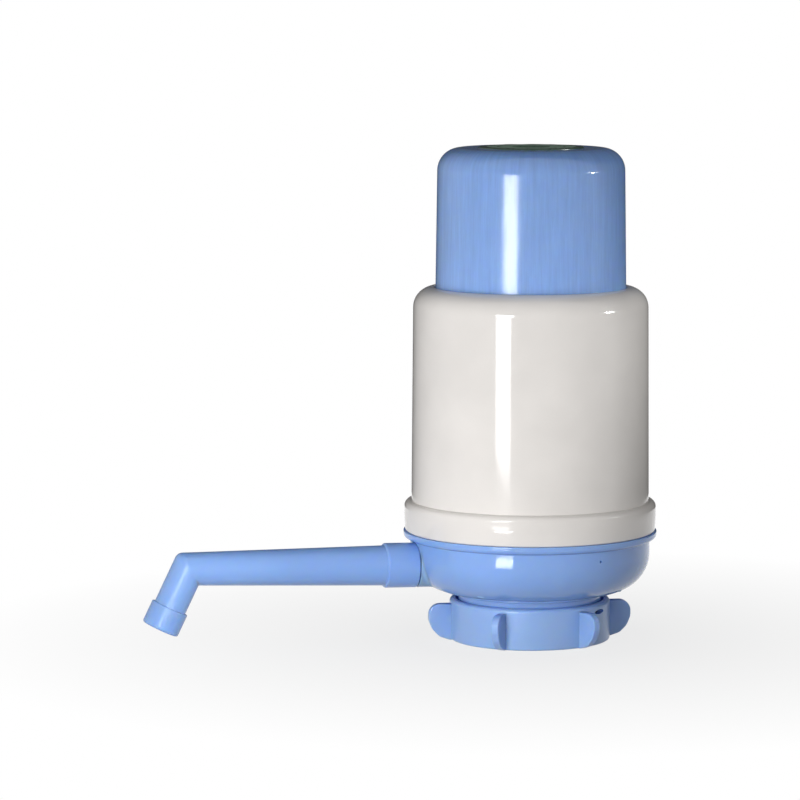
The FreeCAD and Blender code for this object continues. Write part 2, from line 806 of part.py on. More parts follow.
def collar_nut():
    """Threaded ring nut with a floor lip and blade grips round its side."""
    body = piece("collar_nut")
    turned(body, "Ring", [
        ("neck_bore_r", 0),
        ("collar_r", 0, "collar_foot_round"),
        ("collar_r", "collar_height", "collar_top_round"),
        ("collar_bore_r", "collar_height"),
        ("collar_bore_r", "collar_floor"),
        ("neck_bore_r", "collar_floor"),
    ])
    root_r = "collar_bore_r + collar_wall / 2"
    blade = outline(body, "GripOutline", [
        (root_r, 0),
        ("collar_r + grip_tail_reach", 0),
        ("grip_tip_r", "grip_side_foot", "grip_tail_round"),
        ("grip_tip_r", "grip_top", "grip_top_round"),
        (root_r, "grip_top"),
    ], turn="grip_turn")
    grip = body.newObject("PartDesign::Pad", "Grip")
    grip.Profile = blade
    grip.Midplane = True
    bind(grip, {"Length": "grip_thickness"})
    ring_of(body, grip, "grip_count")
    ridge_length = "collar_thread_top - collar_thread_z"
    thread(body, "CollarThread", "collar_bore_r", -1, "collar_thread_z", ridge_length)
    return body


def slip_washer():
    """Thin washer that lets the collar turn under the rubber ring."""
    body = piece("slip_washer")
    turned(body, "Ring", [
        ("ring_bore_r", "collar_floor"),
        ("ring_r", "collar_floor"),
        ("ring_r", "grip_ring_z"),
        ("ring_bore_r", "grip_ring_z"),
    ])
    return body


def grip_ring():
    """Rubber ring that the collar squeezes against the jug's neck."""
    body = piece("grip_ring")
    turned(body, "Ring", [
        ("ring_bore_r", "grip_ring_z"),
        ("ring_r", "grip_ring_z"),
        ("ring_r", "grip_ring_z + grip_ring_height", "grip_ring_round"),
        ("ring_bore_r", "grip_ring_z + grip_ring_height", "grip_ring_round"),
    ])
    return body


# Spout


def spout_tube():
    """Bell, tapered arm, elbow and nozzle leg in one tube, lying along the spout's own axis."""
    body = piece("spout_tube", (0, 0, "spout_axis_z"), ALONG_SPOUT)
    bell_bottom = "nipple_end + bell_gap"
    turned(body, "Arm", [
        ("bell_bore_r", "bell_face"),
        ("bell_r", "bell_face", "bell_round"),
        ("bell_r", "bell_face + bell_length"),
        ("spout_root_r", "bell_face + bell_length"),
        ("spout_tip_r", "elbow_reach"),
        (0, "elbow_reach"),
        (0, bell_bottom),
        ("bell_bore_r", bell_bottom),
    ])
    elbow = (0, 0, "elbow_reach")
    solid(body, "AdditiveSphere", "Elbow", {"Radius": "spout_tip_r"}, elbow)
    cylinder(body, "Leg", "spout_tip_r", "leg_length", elbow, "spout_bend")
    bore(body, "ArmBore", "spout_bore_r", f"elbow_reach - ({bell_bottom})", (0, 0, bell_bottom))
    solid(body, "SubtractiveSphere", "ElbowBore", {"Radius": "spout_bore_r"}, elbow)
    bore(body, "LegBore", "spout_bore_r", "leg_length + spout_bore_r", elbow, "spout_bend")
    return body


def nozzle_tip():
    """Thicker end ring pushed over the nozzle leg."""
    at = ("-elbow_reach * cos(spout_rise)", 0, "spout_axis_z + elbow_reach * sin(spout_rise)")
    body = piece("nozzle_tip", at, DOWN_NOZZLE)
    turned(body, "Ring", [
        ("spout_tip_r + small_gap", "tip_start"),
        ("spout_tip_r + tip_step", "tip_start"),
        ("spout_tip_r + tip_step", "tip_start + tip_length"),
        ("tip_bore_r", "tip_start + tip_length"),
        ("tip_bore_r", "leg_length"),
        ("spout_tip_r + small_gap", "leg_length"),
    ])
    return body


pieces = [
    base_bowl(),
    mouth_gasket(),
    dip_tube_adapter(),
    adapter_seal(),
    delivery_seal(),
    spout_oring(),
    outer_shell(),
    air_cylinder(),
    cylinder_screws(),
    check_valve("delivery_valve", "plate_z"),
    check_valve("intake_valve", "piston_z"),
    return_spring(),
    press_cap(),
    cap_label(),
    cap_stop_ring(),
    piston_rod(),
    piston(),
    piston_seal(),
    piston_screw(),
    collar_nut(),
    slip_washer(),
    grip_ring(),
    spout_tube(),
    nozzle_tip(),
]
doc.recompute()

for thing in doc.Objects:
    if {"Invalid", "Error"} & set(thing.State):
        raise RuntimeError(f"{thing.Label} didn't recompute: {thing.State}")
for body in pieces:
    if body.Shape.isNull() or not body.Shape.isValid():
        raise RuntimeError(f"{body.Label} has no valid shape")

os.makedirs("parts", exist_ok=True)
for body in pieces:
    body.Shape.exportStep(f"parts/{body.Label}.step")
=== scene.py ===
"""Hand pump for a water jug, built as a Blender add-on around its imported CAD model.

Lengths in the outlines are millimetres. Each outline runs anticlockwise in the plane of a
radius and a height, and each finished mesh is in metres in the CAD model's own frame.
"""

import functools
import math

import bmesh
import bpy
import numpy as np
from mathutils import Matrix, Quaternion, Vector


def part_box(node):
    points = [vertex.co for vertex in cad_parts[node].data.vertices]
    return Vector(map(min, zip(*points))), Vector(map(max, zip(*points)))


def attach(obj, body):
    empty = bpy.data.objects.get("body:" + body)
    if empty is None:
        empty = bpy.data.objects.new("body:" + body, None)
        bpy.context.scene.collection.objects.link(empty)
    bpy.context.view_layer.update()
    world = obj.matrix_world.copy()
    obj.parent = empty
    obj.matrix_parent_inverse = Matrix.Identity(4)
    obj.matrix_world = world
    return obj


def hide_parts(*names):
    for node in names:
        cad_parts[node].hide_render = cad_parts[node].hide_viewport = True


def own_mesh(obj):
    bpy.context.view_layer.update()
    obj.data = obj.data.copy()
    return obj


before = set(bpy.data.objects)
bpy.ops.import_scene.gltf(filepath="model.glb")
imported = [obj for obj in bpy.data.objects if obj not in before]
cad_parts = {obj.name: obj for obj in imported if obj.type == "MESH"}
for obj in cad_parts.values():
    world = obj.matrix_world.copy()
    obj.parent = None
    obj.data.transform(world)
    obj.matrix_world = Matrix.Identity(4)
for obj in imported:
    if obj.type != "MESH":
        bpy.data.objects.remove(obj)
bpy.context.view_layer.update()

bl_info = {
    "name": "Water jug hand pump",
    "version": (1, 0, 0),
    "blender": (4, 5, 0),
    "location": "View3D > Sidebar > Jug pump",
    "description": "Builds a hand pump for a water jug around its CAD model",
    "category": "Add Mesh",
}

MM = 0.001
TINY = 1e-9
MERGE = 1e-6  # points nearer than this are one, in metres
SAME = 1e-6  # rows of points nearer than this are one, in millimetres
ON_AXIS = 1e-7  # a radius smaller than this is none, in millimetres
STRAIGHT = 1e-4  # a turn too small to be a corner, in radians
UP = Vector((0, 0, 1))
SPOUT_RISE = math.radians(1.2)
NOZZLE_LEAN = math.radians(26)
SPOUT_ROOT = Vector((0, 0, 31.83))
SPOUT_WAY = Vector((-math.cos(SPOUT_RISE), 0, math.sin(SPOUT_RISE)))
SPOUT_UP = Vector((math.sin(SPOUT_RISE), 0, math.cos(SPOUT_RISE)))
ELBOW = SPOUT_ROOT + SPOUT_WAY * 146.9
NOZZLE_WAY = Vector((-math.sin(NOZZLE_LEAN), 0, -math.cos(NOZZLE_LEAN)))
# the bowl's outside: heights of its floor and lip, radii of its side, round and lip, and the boss's face
BOWL_FOOT, LIP_FOOT = 21, 42.7
BOWL_SIDE, BOWL_ROUND, LIP_SIDE = 50.4, 16, 53.3
BOSS_FACE = 49.6
# distances of the valve ports and of the screws from the pump's axis
PORT, PILLARS = 17.5, 40.4


def linear(code):
    """Linear colour with alpha from an sRGB hex code."""
    parts = [int(code[i:i + 2], 16) / 255 for i in (1, 3, 5)]
    return tuple(p / 12.92 if p <= 0.04045 else ((p + 0.055) / 1.055) ** 2.4 for p in parts) + (1.0,)


def colour(name, description, code):
    return bpy.props.FloatVectorProperty(
        name=name, description=description, subtype="COLOR", size=4, min=0, max=1, default=linear(code))


def length(name, description, default):
    return bpy.props.FloatProperty(name=name, description=description, default=default, min=0, unit="LENGTH")


class PumpFinishes(bpy.types.PropertyGroup):
    """Colours of the pump's plastics, rubber, metal and label."""

    blue: colour("Blue plastic", "Cap, bowl and spout", "#7FA4DF")
    # the collar's colour is the blue plastic made paler: painted sheen and light, standing in for the satin's white
    # sheen and brighter light on the collar
    collar: colour("Collar plastic, lightened as painted sheen", "Collar nut and its grips", "#8FB0E1")
    white: colour("White plastic", "Outer shell", "#D9D5D1")
    natural: colour("Natural plastic", "Cylinder, piston and other inner pieces", "#E4E3DA")
    rubber: colour("Rubber", "Seals, valves and the grip ring", "#2A2A2D")
    steel: colour("Steel", "Spring and screws", "#B9BABD")
    label_rim: colour("Label rim", "Outer ring of the label", "#1F4A35")
    label_field: colour("Label field", "Field of the label", "#8FB59C")
    label_middle: colour("Label middle", "Disc in the middle of the label", "#2F6B4C")
    floor: colour("Floor", "Floor under the pump", "#A4A4A4")


class PumpSizes(bpy.types.PropertyGroup):
    """Sizes that change the pump's details without leaving its CAD model."""

    edge: length("Edge round", "Radius of an edge that has none of its own", 0.3 * MM)
    band_crown: length("Band crown", "How far the shell's band swells above its foot", 0.4 * MM)
    boss_fillet: length("Boss fillet", "Round between the spout's boss and the bowl", 2.6 * MM)
    elbow_round: length("Elbow round", "Round on the outside of the spout's bend", 3.4 * MM)
    elbow_crease: length("Elbow crease", "Round on the inside of the spout's bend", 0.5 * MM)
    grip_count: bpy.props.IntProperty(
        name="Grips", description="Number of grips round the collar", default=6, min=2, max=12)
    grip_turn: bpy.props.FloatProperty(
        name="Grip turn", description="Angle of the first grip", default=math.radians(-6), subtype="ANGLE")
    grip_thickness: length("Grip thickness", "Thickness of a collar grip", 3.3 * MM)
    thread_pitch: length("Thread pitch", "Rise of the neck's thread in one turn", 3 * MM)
    spring_turns: bpy.props.FloatProperty(
        name="Spring turns", description="Turns of the return spring", default=5.5, min=2)
    spring_wire: length("Spring wire", "Radius of the return spring's wire", 1 * MM)
    label_radius: length("Label radius", "Radius of the label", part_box("cap_label")[1].x)


def finishes():
    return bpy.context.scene.pump_finishes


def sizes():
    return bpy.context.scene.pump_sizes


def new_object(name, data):
    made = bpy.data.objects.new(name, data)
    bpy.context.scene.collection.objects.link(made)
    return made


# Outlines and round shells


def rounded(corners, ring=True):
    """Points and outward normals along an outline of (radius, height[, round]) corners.

    A corner with no round of its own gets the common edge round. Corners on the axis stay sharp.
    """
    edge = sizes().edge / MM
    spots = [Vector(corner[:2]) for corner in corners]
    rounds = [corner[2] if len(corner) > 2 else edge for corner in corners]
    count = len(spots)
    points, normals = [], []
    for i, here in enumerate(spots):
        ways = []
        if ring or i > 0:
            ways.append((here - spots[i - 1], spots[i - 1]))
        if ring or i < count - 1:
            ways.append((spots[(i + 1) % count] - here, spots[(i + 1) % count]))
        sides = [(way.normalized(), way.length) for way, other in ways
                 if way.length > TINY and not (abs(here.x) < TINY and abs(other.x) < TINY)]
        outward = [Vector((way.y, -way.x)) for way, _ in sides]
        turn = outward[0].angle_signed(outward[1]) if len(sides) > 1 and rounds[i] else None
        if turn is None or abs(turn) < STRAIGHT:
            outward = outward if turn is None else outward[:1]
            points += [here] * len(outward)
            normals += outward
            continue
        reach = abs(math.tan(turn / 2))
        radius = rounds[i]
        if radius <= edge:  # an edge round leaves a little of the shorter side flat
            radius = min(radius, 0.48 * min(size for _, size in sides) / reach)
        signed = math.copysign(radius, turn)
        centre = here - sides[0][0] * radius * reach + outward[0] * signed
        steps = max(3, min(16, round(abs(turn) * (2 + radius) * 1.6)))  # finer on a large round
        for step in range(steps + 1):
            normal = outward[0].copy()
            normal.rotate(Matrix.Rotation(-turn * step / steps, 2))
            points.append(centre - normal * signed)
            normals.append(normal)
    return points, normals


class Shells:
    """Gathers closed surfaces with their corner normals into one mesh."""

    def __init__(self):
        self.points, self.faces, self.normals = [], [], []

    def add(self, points, faces, normals, place=None):
        """normals holds one vector for each corner of each face; place moves points in millimetres."""
        place = place or Matrix()
        turn = place.to_3x3()
        first = len(self.points)
        self.points += [place @ Vector(point) for point in points]
        self.faces += [[first + corner for corner in face] for face in faces]
        self.normals += [turn @ Vector(normal) for normal in normals]
        return self

    def lathe(self, corners, place=None, segments=160):
        """Turn a closed outline about its axis."""
        return self.rings(*turned(*rounded(corners), segments), place=place)

    def rings(self, rows, row_normals, place=None):
        """Join rows of points, each running once round the shape; a row of one point is a pole.

        Rows in the same place share their points and keep their own normals, which makes a sharp corner.
        """
        points, starts = [], []
        for i, row in enumerate(rows):
            twins = [starts[known] for known in (i - 1, 0) if 0 <= known < i and same_row(row, rows[known])]
            starts.append(twins[0] if twins else len(points))
            points += [] if twins else row
        faces, corners = [], []
        for i in range(len(rows)):
            k = (i + 1) % len(rows)
            around = max(len(rows[i]), len(rows[k]))
            if starts[i] == starts[k] or around == 1:
                continue
            for j in range(around):
                n = (j + 1) % around
                spots = [(row, column % len(rows[row])) for row, column in ((i, j), (i, n), (k, n), (k, j))]
                spots = [spot for before, spot in enumerate(spots) if spot not in spots[:before]]
                faces.append([starts[row] + column for row, column in spots])
                corners += [row_normals[row][column] for row, column in spots]
        return self.add(points, faces, corners, place)

    def make(self, name):
        """The finished object, in metres."""
        mesh = bpy.data.meshes.new(name)
        mesh.from_pydata([point * MM for point in self.points], [], self.faces)
        mesh.shade_smooth()
        mesh.normals_split_custom_set([
            tuple(normal.normalized()) if normal.length > TINY else tuple(UP) for normal in self.normals])
        return new_object(name, mesh)


def same_row(row, other):
    """Whether two rows of points lie in the same place."""
    return len(row) == len(other) and all(
        (Vector(here) - Vector(there)).length < SAME for here, there in zip(row, other))


def turned(points, normals, segments):
    """Rows of points and normals for an outline turned about its axis."""
    around = [math.tau * step / segments for step in range(segments)]
    rows, row_normals = [], []
    for point, normal in zip(points, normals):
        angles = around if point.x > ON_AXIS else [0.0]
        rows.append([(point.x * math.cos(a), point.x * math.sin(a), point.y) for a in angles])
        row_normals.append([(normal.x * math.cos(a), normal.x * math.sin(a), normal.y) for a in angles])
    return rows, row_normals


def along(origin, way):
    """Place that turns +Z to a direction."""
    return Matrix.Translation(origin) @ way.to_track_quat("Z", "Y").to_matrix().to_4x4()


def at(x=0, y=0, z=0):
    return Matrix.Translation((x, y, z))


def drill(piece, corners, *cutters):
    """Cut round holes in a lathed piece, and give it its outline's normals again.

    Each cutter is (place, radius, length) in millimetres.
    """
    bits = Shells()
    for place, radius, depth in cutters:
        bits.lathe([(0, 0), (radius, 0, 0), (radius, depth, 0), (0, depth)], place, segments=40)
    cutter = bits.make("cutter")
    boolean = piece.modifiers.new("Drill", "BOOLEAN")
    boolean.operation = "DIFFERENCE"
    boolean.solver = "EXACT"
    boolean.object = cutter
    bake(piece)
    bpy.data.objects.remove(cutter)
    shape = bmesh.new()
    shape.from_mesh(piece.data)
    bmesh.ops.remove_doubles(shape, verts=shape.verts, dist=MERGE)
    bmesh.ops.dissolve_degenerate(shape, edges=shape.edges, dist=MERGE)
    shape.to_mesh(piece.data)
    shape.free()
    outline_normals(piece, corners)


def bake(piece):
    """Turn a piece's modifiers into plain mesh."""
    depsgraph = bpy.context.evaluated_depsgraph_get()
    mesh = bpy.data.meshes.new_from_object(piece.evaluated_get(depsgraph), depsgraph=depsgraph)
    piece.modifiers.clear()
    old, piece.data = piece.data, mesh
    bpy.data.meshes.remove(old)
    mesh.name = piece.name
    return piece


def outline_normals(piece, corners):
    """Corner normals from the nearest point of the outline, or the face's own where they differ much."""
    points, normals = rounded(corners)
    table = np.array([tuple(point) for point in points]) * MM
    facing = np.array([tuple(normal) for normal in normals])
    side = np.roll(table, -1, axis=0) - table
    size = np.maximum((side ** 2).sum(1), TINY ** 2)
    mesh = piece.data
    mesh.shade_smooth()
    spots = np.zeros(len(mesh.vertices) * 3)
    mesh.vertices.foreach_get("co", spots)
    spots = spots.reshape(-1, 3)
    flat = np.stack([np.hypot(spots[:, 0], spots[:, 1]), spots[:, 2]], 1)
    share = np.clip(((flat[:, None] - table) * side).sum(2) / size, 0, 1)
    gap = ((table + share[..., None] * side - flat[:, None]) ** 2).sum(2)
    best = gap.argmin(1)
    share = share[np.arange(len(flat)), best][:, None]
    mixed = facing[best] * (1 - share) + np.roll(facing, -1, axis=0)[best] * share
    radius = np.maximum(flat[:, 0], TINY)
    smooth = np.stack([mixed[:, 0] * spots[:, 0] / radius, mixed[:, 0] * spots[:, 1] / radius, mixed[:, 1]], 1)
    smooth /= np.maximum(np.linalg.norm(smooth, axis=1), TINY)[:, None]
    on_outline, same_way = 0.02 * MM, 0.8
    near = gap.min(1) < on_outline ** 2
    corner_normals = []
    for face in mesh.polygons:
        own = np.array(face.normal)
        for corner in face.vertices:
            use = near[corner] and smooth[corner] @ own > same_way
            corner_normals.append(tuple(smooth[corner] if use else own))
    mesh.normals_split_custom_set(corner_normals)


def joined(name, *parts):
    """Join objects into the first and rename it."""
    with bpy.context.temp_override(active_object=parts[0], selected_editable_objects=list(parts)):
        bpy.ops.object.join()
    parts[0].name = parts[0].data.name = name
    return parts[0]


def finish_piece(piece, finish, body, *nodes):
    """Give a piece its material, tie it to its body and hide the CAD nodes that it stands for."""
    material, slot = finish_of(finish)
    piece.data.materials.clear()
    piece.data.materials.append(material)
    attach(piece, body)
    if nodes:
        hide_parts(*nodes)
    return piece


def ring_piece(node, corners, finish, body, place=None, segments=160):
    """A round piece that stands for one CAD node."""
    piece = Shells().lathe(corners, place, segments).make("visual_" + node)
    return finish_piece(piece, finish, body, node)


# Node trees


def set_up(node, values):
    """Set a node's properties and inputs by name, or its inputs by number; a node or a socket is linked."""
    for name, value in values.items():
        value = value.outputs[0] if isinstance(value, bpy.types.Node) else value
        if isinstance(value, bpy.types.NodeSocket):
            node.id_data.links.new(value, node.inputs[name])
        elif isinstance(name, str) and name in node.bl_rna.properties:
            setattr(node, name, value)
        else:
            node.inputs[name].default_value = value
    return node


def add_node(tree, kind, values=None):
    """Add a node with its settings and links; a shader node's kind goes without its prefix."""
    prefix = "" if kind.startswith(("GeometryNode", "NodeGroup")) else "ShaderNode"
    return set_up(tree.nodes.new(prefix + kind), values or {})


def new_tree(name, **inputs):
    """A geometry tree with inputs named under their kinds, one material input and one geometry output."""
    tree = bpy.data.node_groups.new(name, "GeometryNodeTree")
    for kind, labels in [*inputs.items(), ("Material", ["Material"])]:
        for label in labels:
            tree.interface.new_socket(label, in_out="INPUT", socket_type="NodeSocket" + kind)
    tree.interface.new_socket("Geometry", in_out="OUTPUT", socket_type="NodeSocketGeometry")
    return functools.partial(add_node, tree), add_node(tree, "NodeGroupInput").outputs


def end_tree(add, geometry, material):
    """Realise what the tree made and give it its material."""
    real = add("GeometryNodeRealizeInstances", {0: geometry})
    painted = add("GeometryNodeSetMaterial", {"Geometry": real, "Material": material})
    return add("NodeGroupOutput", {0: painted}).id_data


def grow(piece, tree, finish, values):
    """Run a geometry tree on a piece with the given inputs, and keep its result as plain mesh."""
    values = {**values, "Material": finish_of(finish)[0]}
    modifier = piece.modifiers.new(tree.name, "NODES")
    modifier.node_group = tree
    for socket in tree.interface.items_tree:
        if socket.in_out == "INPUT" and socket.name in values:
            modifier[socket.identifier] = values[socket.name]
    return bake(piece)


def grow_ring(piece, finish, count, turn):
    """Repeat a piece round the pump's axis, from a first angle on."""
    return grow(piece, copies_tree(), finish, {"Count": count, "Turn": turn})


def copies_tree():
    """Copies of the incoming mesh, evenly spaced round the pump's axis."""
    add, given = new_tree("Ring of copies", Geometry=["Geometry"], Int=["Count"], Float=["Turn"])
    spots = add("GeometryNodePoints", {"Count": given["Count"]})
    index = add("GeometryNodeInputIndex")
    step = add("Math", {"operation": "DIVIDE", 0: math.tau, 1: given["Count"]})
    angle = add("Math", {"operation": "MULTIPLY_ADD", 0: index, 1: step, 2: given["Turn"]})
    spin = add("CombineXYZ", {"Z": angle})
    copies = add("GeometryNodeInstanceOnPoints", {"Points": spots, "Instance": given["Geometry"], "Rotation": spin})
    return end_tree(add, copies, given["Material"])


def thread_tree():
    """A screw thread's ridge along a spiral, which tapers away at both ends."""
    add, given = new_tree("Thread ridge", Float=[
        "Radius", "Pitch", "Turns", "Foot", "Root width", "Crest width", "Depth", "Profile turn"])
    height = add("Math", {"operation": "MULTIPLY", 0: given["Pitch"], 1: given["Turns"]})
    spiral = add("GeometryNodeCurveSpiral", {
        "Resolution": 120, "Reverse": True, "Rotations": given["Turns"], "Height": height,
        "Start Radius": given["Radius"], "End Radius": given["Radius"]})
    lift = add("CombineXYZ", {"Z": given["Foot"]})
    lifted = add("GeometryNodeSetPosition", {"Geometry": spiral, "Offset": lift})
    upright = add("GeometryNodeSetCurveNormal", {"mode": "Z_UP", "Curve": lifted})
    factor = add("GeometryNodeSplineParameter").outputs["Factor"]
    back = add("Math", {"operation": "SUBTRACT", 0: 1.0, 1: factor})
    nearest = add("Math", {"operation": "MINIMUM", 0: factor, 1: back})
    taper = add("MapRange", {
        "From Max": 0.08, "To Min": 0.05, "interpolation_type": "SMOOTHSTEP", "Value": nearest})
    thinned = add("GeometryNodeSetCurveRadius", {"Curve": upright, "Radius": taper})
    ridge = add("GeometryNodeCurvePrimitiveQuadrilateral", {
        "mode": "TRAPEZOID", "Offset": 0.0, "Bottom Width": given["Root width"],
        "Top Width": given["Crest width"], "Height": given["Depth"]})
    turn = add("CombineXYZ", {"Z": given["Profile turn"]})
    turned_ridge = add("GeometryNodeTransform", {"Geometry": ridge, "Rotation": turn})
    swept = add("GeometryNodeCurveToMesh", {"Fill Caps": True, "Curve": thinned, "Profile Curve": turned_ridge})
    return end_tree(add, swept, given["Material"])


def spring_tree():
    """Round wire wound into a spring whose end turns lie closed."""
    add, given = new_tree("Wound spring", Float=["Radius", "Foot", "Height", "Turns", "Wire radius"])
    spiral = add("GeometryNodeCurveSpiral", {
        "Resolution": 72, "Height": 0.0, "Rotations": given["Turns"],
        "Start Radius": given["Radius"], "End Radius": given["Radius"]})
    # the rise along the wire slows down towards both ends by a sine wave of one period
    factor = add("GeometryNodeSplineParameter").outputs["Factor"]
    wave = add("Math", {"operation": "MULTIPLY", 1: math.tau, 0: factor})
    swing = add("Math", {"operation": "SINE", 0: wave})
    ease = add("Math", {"operation": "MULTIPLY_ADD", 1: -0.8 / math.tau, 0: swing, 2: factor})
    rise = add("Math", {"operation": "MULTIPLY_ADD", 0: ease, 1: given["Height"], 2: given["Foot"]})
    lift = add("CombineXYZ", {"Z": rise})
    wound = add("GeometryNodeSetPosition", {"Geometry": spiral, "Offset": lift})
    wire = add("GeometryNodeCurvePrimitiveCircle", {
        "mode": "RADIUS", "Resolution": 16, "Radius": given["Wire radius"]})
    swept = add("GeometryNodeCurveToMesh", {"Fill Caps": True, "Curve": wound, "Profile Curve": wire})
    smooth = add("GeometryNodeSetShadeSmooth", {"Shade Smooth": True, "Geometry": swept})
    return end_tree(add, smooth, given["Material"])


# Materials


def new_material(name, settings=None):
    """A material with only a shader and its output, and the object's own coordinates."""
    material = bpy.data.materials.new(name)
    material.use_nodes = True
    tree = material.node_tree
    tree.nodes.clear()
    add = functools.partial(add_node, tree)
    shader = add("BsdfPrincipled", settings)
    add("OutputMaterial", {"Surface": shader})
    return material, add, shader, add("TexCoord").outputs["Object"]


def scaled(code, share):
    """A linear colour made darker or lighter."""
    return tuple(min(1.0, part * share) for part in code[:3]) + (1.0,)


def two_tone(add, pattern, low, high, first, second):
    """One colour where a pattern is low, and another where it is high."""
    share = add("MapRange", {"From Min": low, "From Max": high, "Value": pattern})
    return add("Mix", {"data_type": "RGBA", 6: first, 7: second, 0: share}).outputs[2]


def dappled(add, tone, pattern, low, high, darkest, lightest):
    """A colour made darker where a pattern is low, and lighter where it is high."""
    share = add("MapRange", {
        "From Min": low, "From Max": high, "To Min": darkest, "To Max": lightest, "Value": pattern})
    return add("Mix", {"data_type": "RGBA", "blend_type": "MULTIPLY", 0: 1.0, 6: tone, 7: share}).outputs[2]


def skin(add, shader, tone, pattern, roughness, grain, strength, depth):
    """Give a shader its colour, a roughness that follows a pattern and a bump that follows a grain."""
    rough = add("MapRange", {
        "From Min": 0.3, "From Max": 0.7, "To Min": roughness[0], "To Max": roughness[1], "Value": pattern})
    bump = add("Bump", {"Strength": strength, "Distance": depth, "Height": grain})
    set_up(shader, {"Base Color": tone, "Roughness": rough, "Normal": bump})


def moulded_abs(name, base, roughness, depth=0.0, streaks=0.0):
    """Injection-moulded ABS: an even, glossy skin with a faint cloudiness from the melt's flow,
    a slight ripple copied from the mould and fine handling scratches that break up the gloss.
    depth is how far light goes under the skin, and streaks adds the hairlines that a piece
    gets where it slides in its guide."""
    settings = {"IOR": 1.53}
    if depth:
        settings.update({
            "Subsurface Weight": 0.45, "Subsurface Radius": (0.12, 0.3, 1.0), "Subsurface Scale": depth})
    material, add, shader, place = new_material(name, settings)
    # cloudiness about 25 mm across
    cloud = add("TexNoise", {"Scale": 40.0, "Detail": 2.0, "Roughness": 0.5, "Vector": place})
    tone = two_tone(add, cloud, 0.3, 0.7, scaled(base, 0.965), scaled(base, 1.035))
    # pigment speckle of about 0.25 mm, drawn coarser than the real grain so that it shows
    speck = add("TexNoise", {"Scale": 4000.0, "Detail": 1.0, "Vector": place})
    tone = dappled(add, tone, speck, 0.25, 0.75, 0.985, 1.015)
    # scratches some 10 mm long and 0.2 mm apart, in two directions
    scratches = []
    for turn, stretch in ((0.5, (420, 420, 60)), (-0.9, (60, 500, 380))):
        lay = add("Mapping", {"Rotation": (turn, turn * 0.7, turn), "Scale": stretch, "Vector": place})
        mark = add("TexNoise", {"Scale": 9.0, "Detail": 4.0, "Roughness": 0.7, "Vector": lay})
        scratches.append(add("MapRange", {"From Min": 0.56, "From Max": 0.72, "Value": mark}))
    scratched = add("Math", {"operation": "MAXIMUM", **dict(enumerate(scratches))})
    rough = add("MapRange", {"To Min": roughness, "To Max": roughness + 0.1, "Value": scratched})
    # ripple of the mould, 1.6 mm across and a few micrometres deep
    ripple = add("TexNoise", {"Scale": 620.0, "Detail": 2.0, "Vector": place})
    bump = add("Bump", {"Strength": 0.12, "Distance": 0.02 * MM, "Height": ripple})
    if streaks:
        tangent = add("Tangent", {"direction_type": "RADIAL", "axis": "Z"})
        set_up(shader, {"Anisotropic": 0.7, "Tangent": tangent})
        broad, fine = hairlines(add, place)
        tone = dappled(add, tone, broad, 0.3, 0.7, 1 - streaks, 1 + streaks)
        rough = add("Math", {"operation": "MULTIPLY_ADD", 1: 0.14, 0: fine, 2: rough})
        bump = add("Bump", {"Strength": 0.2, "Distance": 0.02 * MM, "Height": fine, "Normal": bump})
    set_up(shader, {"Base Color": tone, "Roughness": rough, "Normal": bump})
    return material


def hairlines(add, place):
    """Upright scuffs round the pump's axis, 0.3 to 3 mm wide and tens of millimetres long."""
    parts = add("SeparateXYZ", {0: place}).outputs
    angle = add("Math", {"operation": "ARCTAN2", 0: parts[1], 1: parts[0]})
    wrap = [add("Math", {"operation": kind, 0: angle}) for kind in ("COSINE", "SINE")]
    drawn = add("Math", {"operation": "MULTIPLY", 1: 1.2, 0: parts[2]})
    around = add("CombineXYZ", {0: wrap[0], 1: wrap[1], 2: drawn})
    broad = add("TexNoise", {"Scale": 26.0, "Detail": 6.0, "Roughness": 0.75, "Vector": around})
    fine = add("TexNoise", {"Scale": 110.0, "Detail": 3.0, "Roughness": 0.6, "Vector": around})
    return broad, add("MapRange", {"From Min": 0.5, "From Max": 0.7, "Value": fine})


def natural_polypropylene():
    """Unpigmented polypropylene: milky, waxy and a little see-through, with a satin skin."""
    base = tuple(finishes().natural)
    material, add, shader, place = new_material("Natural polypropylene, moulded", {
        "IOR": 1.49, "Subsurface Weight": 0.15, "Subsurface Radius": (1.0, 0.95, 0.85), "Subsurface Scale": 2 * MM})
    # flow marks 15 mm across, and a grain of 0.5 mm
    flow = add("TexNoise", {"Scale": 70.0, "Detail": 3.0, "Vector": place})
    grain = add("TexNoise", {"Scale": 1800.0, "Detail": 2.0, "Vector": place})
    tone = two_tone(add, flow, 0.35, 0.65, scaled(base, 0.94), base)
    skin(add, shader, tone, flow, (0.32, 0.44), grain, 0.15, 0.02 * MM)
    return material


def nitrile_rubber():
    """Moulded nitrile rubber: near black and matt, with a bloom of talc and a fine grain."""
    base = tuple(finishes().rubber)
    material, add, shader, place = new_material("Nitrile rubber, moulded", {"IOR": 1.52})
    # bloom in patches of 5 mm, and a grain of 0.4 mm
    bloom = add("TexNoise", {"Scale": 220.0, "Detail": 5.0, "Vector": place})
    grain = add("TexNoise", {"Scale": 2600.0, "Detail": 2.0, "Vector": place})
    tone = two_tone(add, bloom, 0.45, 0.75, base, scaled(base, 1.9))
    skin(add, shader, tone, bloom, (0.55, 0.75), grain, 0.3, 0.03 * MM)
    return material


def steel(name, roughness, stretch):
    """Steel, drawn as wire or plated with zinc: a grey mirror whose fine lines spread its highlights.

    stretch is how many lines there are in a metre along each axis.
    """
    base = tuple(finishes().steel)
    material, add, shader, place = new_material(name, {"Metallic": 1.0})
    lay = add("Mapping", {"Scale": stretch, "Vector": place})
    lines = add("TexNoise", {"Scale": 1.0, "Detail": 4.0, "Vector": lay})
    tone = two_tone(add, lines, 0.35, 0.65, scaled(base, 0.8), base)
    skin(add, shader, tone, lines, (roughness, roughness + 0.15), lines, 0.15, 0.02 * MM)
    return material


